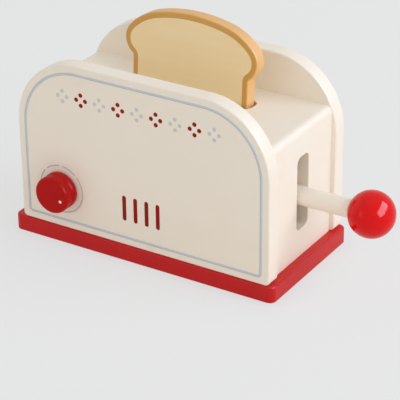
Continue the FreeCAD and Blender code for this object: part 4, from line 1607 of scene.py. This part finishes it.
@dataclass
class Fittings:
    """The posts and dowels, and the screws under the base and in the platform."""

    base_length: float = 30.0
    base_across: float = 130.0
    base_along: float = 90.0
    base_face: float = 0.1
    lift_length: float = 20.0
    lift_across: float = 80.0
    lift_face: float = 50.85
    screw_radius: float = 1.75
    head_radius: float = 3.5
    collar_height: float = 1.5
    pitch: float = 1.5
    turn_rings: int = 6
    thread: float = 0.45
    ridge_share: float = 0.4
    core_radius: float = 1.4
    fade_in: float = 3.0
    fade_out: float = 2.0
    tip_length: float = 3.0
    cross_reach: float = 2.1
    cross_arm: float = 0.55
    cross_slope: float = 0.3
    cross_depth: float = 1.5
    crease: float = 40.0

    def build(self) -> None:
        """Dresses the wooden fittings and makes the screws."""
        for node in ("left_guide_post", "right_guide_post"):
            dress(node, BEECH.material(Grain.ALONG_Z))
        for node in ("side_dowels", "top_dowels"):
            dress(node, BEECH.material(Grain.ALONG_Y))
        steel = SCREW_STEEL.material()
        base = self.screw("base_screw", self.base_length)
        for step in ((self.base_across, 0, 0), (0, self.base_along, 0)):
            base = new_object("base_screw_row", in_a_row(base, 2, step, steel))
        self.drive(base, self.base_face, "base_wood_screws", "housing", "base_screws")
        lift = self.screw("lift_screw", self.lift_length)
        lift = new_object("lift_screw_row", in_a_row(lift, 2, (self.lift_across, 0, 0), steel))
        self.drive(lift, self.lift_face, "lift_wood_screws", "lever", "lift_screws")

    @staticmethod
    def drive(screws: bpy.types.Object, z: float, name: str, body: str, node: str) -> None:
        """Moves screws up to their place and settles them.

        Args:
            screws: The screws, with their heads' faces at height 0.
            z: How high those go.
            name: The piece's name.
            body: The body that they move with.
            node: The CAD node that they stand for.
        """
        screws.data.transform(Matrix.Translation((0, 0, z * MM)))
        screws.name = screws.data.name = name
        settle(screws, body, "screw_steel", node)

    def screw(self, name: str, length: float) -> bpy.types.Object:
        """Makes a countersunk wood screw that points up, with a cross recess and a thread.

        Args:
            name: The object's name.
            length: The screw's length with its head.

        Returns:
            The screw, at the origin.
        """
        draft = MeshDraft()
        head = self.head_radius
        neck = head - self.screw_radius
        collar_top = neck + self.collar_height
        section = trace([Corner(0, 0), Corner(-neck, neck), Corner(-neck, collar_top)],
                        closed=False)
        rim, collar = draft.sweep(round_outline(0, 0, head, EDGE_STEP), section, level())
        self.thread_up(draft, collar, collar_top, length)
        arm, reach = self.cross_arm, self.cross_reach
        quarter = [(arm, -reach), (arm, -arm), (reach, -arm)]
        places = []
        for _ in range(4):
            places += quarter
            quarter = [(-y, x) for x, y in quarter]
        cross = hole(trace([Corner(x, y) for x, y in places]))
        walls = trace([Corner(0, 0), Corner(self.cross_slope, self.cross_depth)], closed=False)
        opening, floor = draft.sweep(cross, walls, level())
        draft.fill([rim, opening], DOWN)
        draft.fill([floor], DOWN)
        return draft.build(name, [], crease=self.crease)

    def thread_up(self, draft: MeshDraft, collar: Sequence[int], start: float,
                  length: float) -> None:
        """Carries a screw's shank up from its collar to its tip, with a coarse thread.

        Args:
            draft: The screw's mesh.
            collar: The corners that the shank starts from, evenly round the axis.
            start: Their height.
            length: The tip's height.
        """
        count = len(collar)
        first = draft.places[collar[0]]
        offset = math.atan2(first.y, first.x)
        tip = length - self.tip_length
        below = list(collar)
        height = start
        rise = self.pitch / self.turn_rings
        while height + rise < tip:
            height += rise
            fade = min(1.0, (height - start) / self.fade_in, (tip - height) / self.fade_out)
            ring = []
            for index in range(count):
                turn = index / count
                phase = (height / self.pitch - turn) % 1.0
                ridge = max(0.0, 1 - abs(phase - 0.5) * 2 / self.ridge_share) * self.thread
                radius = self.screw_radius + (self.core_radius + ridge - self.screw_radius) * fade
                way = offset + 2 * math.pi * turn
                ring.append(draft.corner(Vector((radius * math.cos(way), radius * math.sin(way),
                                                 height))))
            for index in range(count):
                after = (index + 1) % count
                draft.face([below[index], below[after], ring[after], ring[index]])
            below = ring
        point = draft.corner(Vector((0, 0, length)))
        for index in range(count):
            draft.face([below[index], below[(index + 1) % count], point])


# ---------------------------------------------------------------------------------------------
# The studio
# ---------------------------------------------------------------------------------------------


@dataclass
class Studio:
    """A plain pale floor, soft lights and the camera. Distances are metres here."""

    backdrop: Colour = (229, 229, 229)
    sky: tuple[float, float, float] = (0.63, 0.625, 0.62)
    key_from: tuple[float, float, float] = (0.826, 0.087, 0.557)
    key_level: float = 0.495
    key_tint: tuple[float, float, float] = (0.94, 0.98, 1.12)
    key_size: tuple[float, float] = (3.8, 1.5)
    key_roll: float = 18.0
    gleam_level: float = 1.8
    gleam_distance: float = 2.94
    fill_from: tuple[float, float, float] = (-0.418, -0.867, 0.274)
    fill_level: float = 0.04
    fill_size: tuple[float, float] = (0.9, 0.95)
    lamp_distance: float = 3.0
    floor_albedo: tuple[float, float, float] = (0.87, 0.82, 0.755)
    floor_half: float = 4.0
    floor_gap: float = 0.0003
    floor_glow: float = 0.7
    floor_light: tuple[float, float, float] = (0.808, 0.83, 0.85)
    camera_place: tuple[float, float, float] = (0.62930, -0.98131, 0.62943)
    azimuth: float = 32.0326
    elevation: float = 27.3097
    roll: float = -0.5608
    lens: float = 168.57
    sensor: float = 36.0
    nearest: float = 0.1
    farthest: float = 50.0

    def build(self) -> None:
        """Sets up everything round the toaster."""
        self.world()
        self.floor()
        key = self.lamp("key_light", self.key_from, self.key_level, self.key_size, self.key_roll)
        key.data.color = self.key_tint
        self.lamp("fill_light", self.fill_from, self.fill_level, self.fill_size)
        self.gleam()
        self.camera()
        bpy.context.scene.view_settings.view_transform = "Standard"

    @staticmethod
    def seen(wires: Wires) -> bpy.types.NodeSocket:
        """Adds the test for light that the camera sees, also in gloss or through glass.

        Args:
            wires: The material's wires.

        Returns:
            1 for such light and 0 for other light.
        """
        path = wires.add("ShaderNodeLightPath").outputs
        seen = wires.sum_up("MAXIMUM", path["Is Camera Ray"], path["Is Glossy Ray"])
        return wires.sum_up("MAXIMUM", seen, path["Is Transmission Ray"])

    def world(self) -> None:
        """Makes an even sky, with the backdrop's colour where it is seen."""
        world = bpy.data.worlds.new("studio")
        bpy.context.scene.world = world
        world.use_nodes = True
        wires = Wires(world.node_tree)
        sky = wires.add("ShaderNodeBackground", {"Color": (*self.sky, 1.0), "Strength": 1.0})
        wall = wires.add("ShaderNodeBackground", {"Color": paint_colour(self.backdrop),
                                                  "Strength": 1.0})
        both = wires.add("ShaderNodeMixShader", {0: self.seen(wires), 1: sky.outputs[0],
                                                 2: wall.outputs[0]})
        wires.add("ShaderNodeOutputWorld", {"Surface": both.outputs[0]})

    def floor(self) -> None:
        """Lays the floor: paper that takes shadows, with a glow of its own where it is seen."""
        mesh = bpy.data.meshes.new("floor")
        half = self.floor_half
        corners = [(-half, -half, 0), (half, -half, 0), (half, half, 0), (-half, half, 0)]
        mesh.from_pydata(corners, [], [(0, 1, 2, 3)])
        mesh.transform(Matrix.Translation((0, 0, -self.floor_gap)))
        material, wires = start_material("floor_paper")
        paper = wires.add("ShaderNodeBsdfDiffuse", {"Color": (*self.floor_albedo, 1.0)})
        glow = wires.add("ShaderNodeEmission", {"Color": (*self.floor_light, 1.0)})
        share = wires.sum_up("MULTIPLY", self.seen(wires), self.floor_glow)
        both = wires.add("ShaderNodeMixShader", {0: share, 1: paper.outputs[0],
                                                 2: glow.outputs[0]})
        wires.add("ShaderNodeOutputMaterial", {"Surface": both.outputs[0]})
        mesh.materials.append(material)
        new_object("floor", mesh)

    def gleam(self) -> None:
        """Hangs a soft box in front of the key light that shows only in glossy paint."""
        gleam = self.lamp("gleam_light", self.key_from, self.gleam_level, self.key_size,
                          self.key_roll)
        gleam.data.color = self.key_tint
        gleam.location *= self.gleam_distance / self.lamp_distance
        gleam.visible_diffuse = False

    def lamp(self, name: str, toward: tuple[float, float, float], level: float,
             size: tuple[float, float], roll: float = 0.0) -> bpy.types.Object:
        """Hangs a soft box that faces the toaster.

        Args:
            name: The light's name.
            toward: The direction from the toaster to the light.
            level: How bright it would make a white card that faces it if it were small, 1 for
                white.
            size: Its width and height in metres.
            roll: How far it is turned about its own axis, in degrees.

        Returns:
            The lamp.
        """
        light = bpy.data.lights.new(name, "AREA")
        light.shape = "RECTANGLE"
        light.size, light.size_y = size
        light.energy = level * (math.pi * self.lamp_distance) ** 2
        lamp = new_object(name, light)
        way = Vector(toward).normalized()
        lamp.location = way * self.lamp_distance
        turn = way.to_track_quat("Z", "Y") @ Quaternion((0, 0, 1), math.radians(roll))
        lamp.rotation_euler = turn.to_euler()
        lamp.visible_camera = False
        return lamp

    def camera(self) -> None:
        """Sets up the camera."""
        data = bpy.data.cameras.new("camera")
        data.lens = self.lens
        data.sensor_width = self.sensor
        data.clip_start = self.nearest
        data.clip_end = self.farthest
        camera = new_object("camera", data)
        turn = (Matrix.Rotation(math.radians(self.azimuth), 4, "Z")
                @ Matrix.Rotation(math.radians(90 - self.elevation), 4, "X")
                @ Matrix.Rotation(math.radians(self.roll), 4, "Z"))
        camera.matrix_world = Matrix.Translation(self.camera_place) @ turn
        bpy.context.scene.camera = camera


def main() -> None:
    """Builds the toaster and the studio."""
    logging.basicConfig(level=logging.INFO, format="%(name)s: %(message)s")
    Studio().build()
    for part in (Housing(), FrontPrint(), TimerKnob(), Lever(), PlayToast(), Fittings()):
        part.build()


if __name__ == "__main__":
    main()
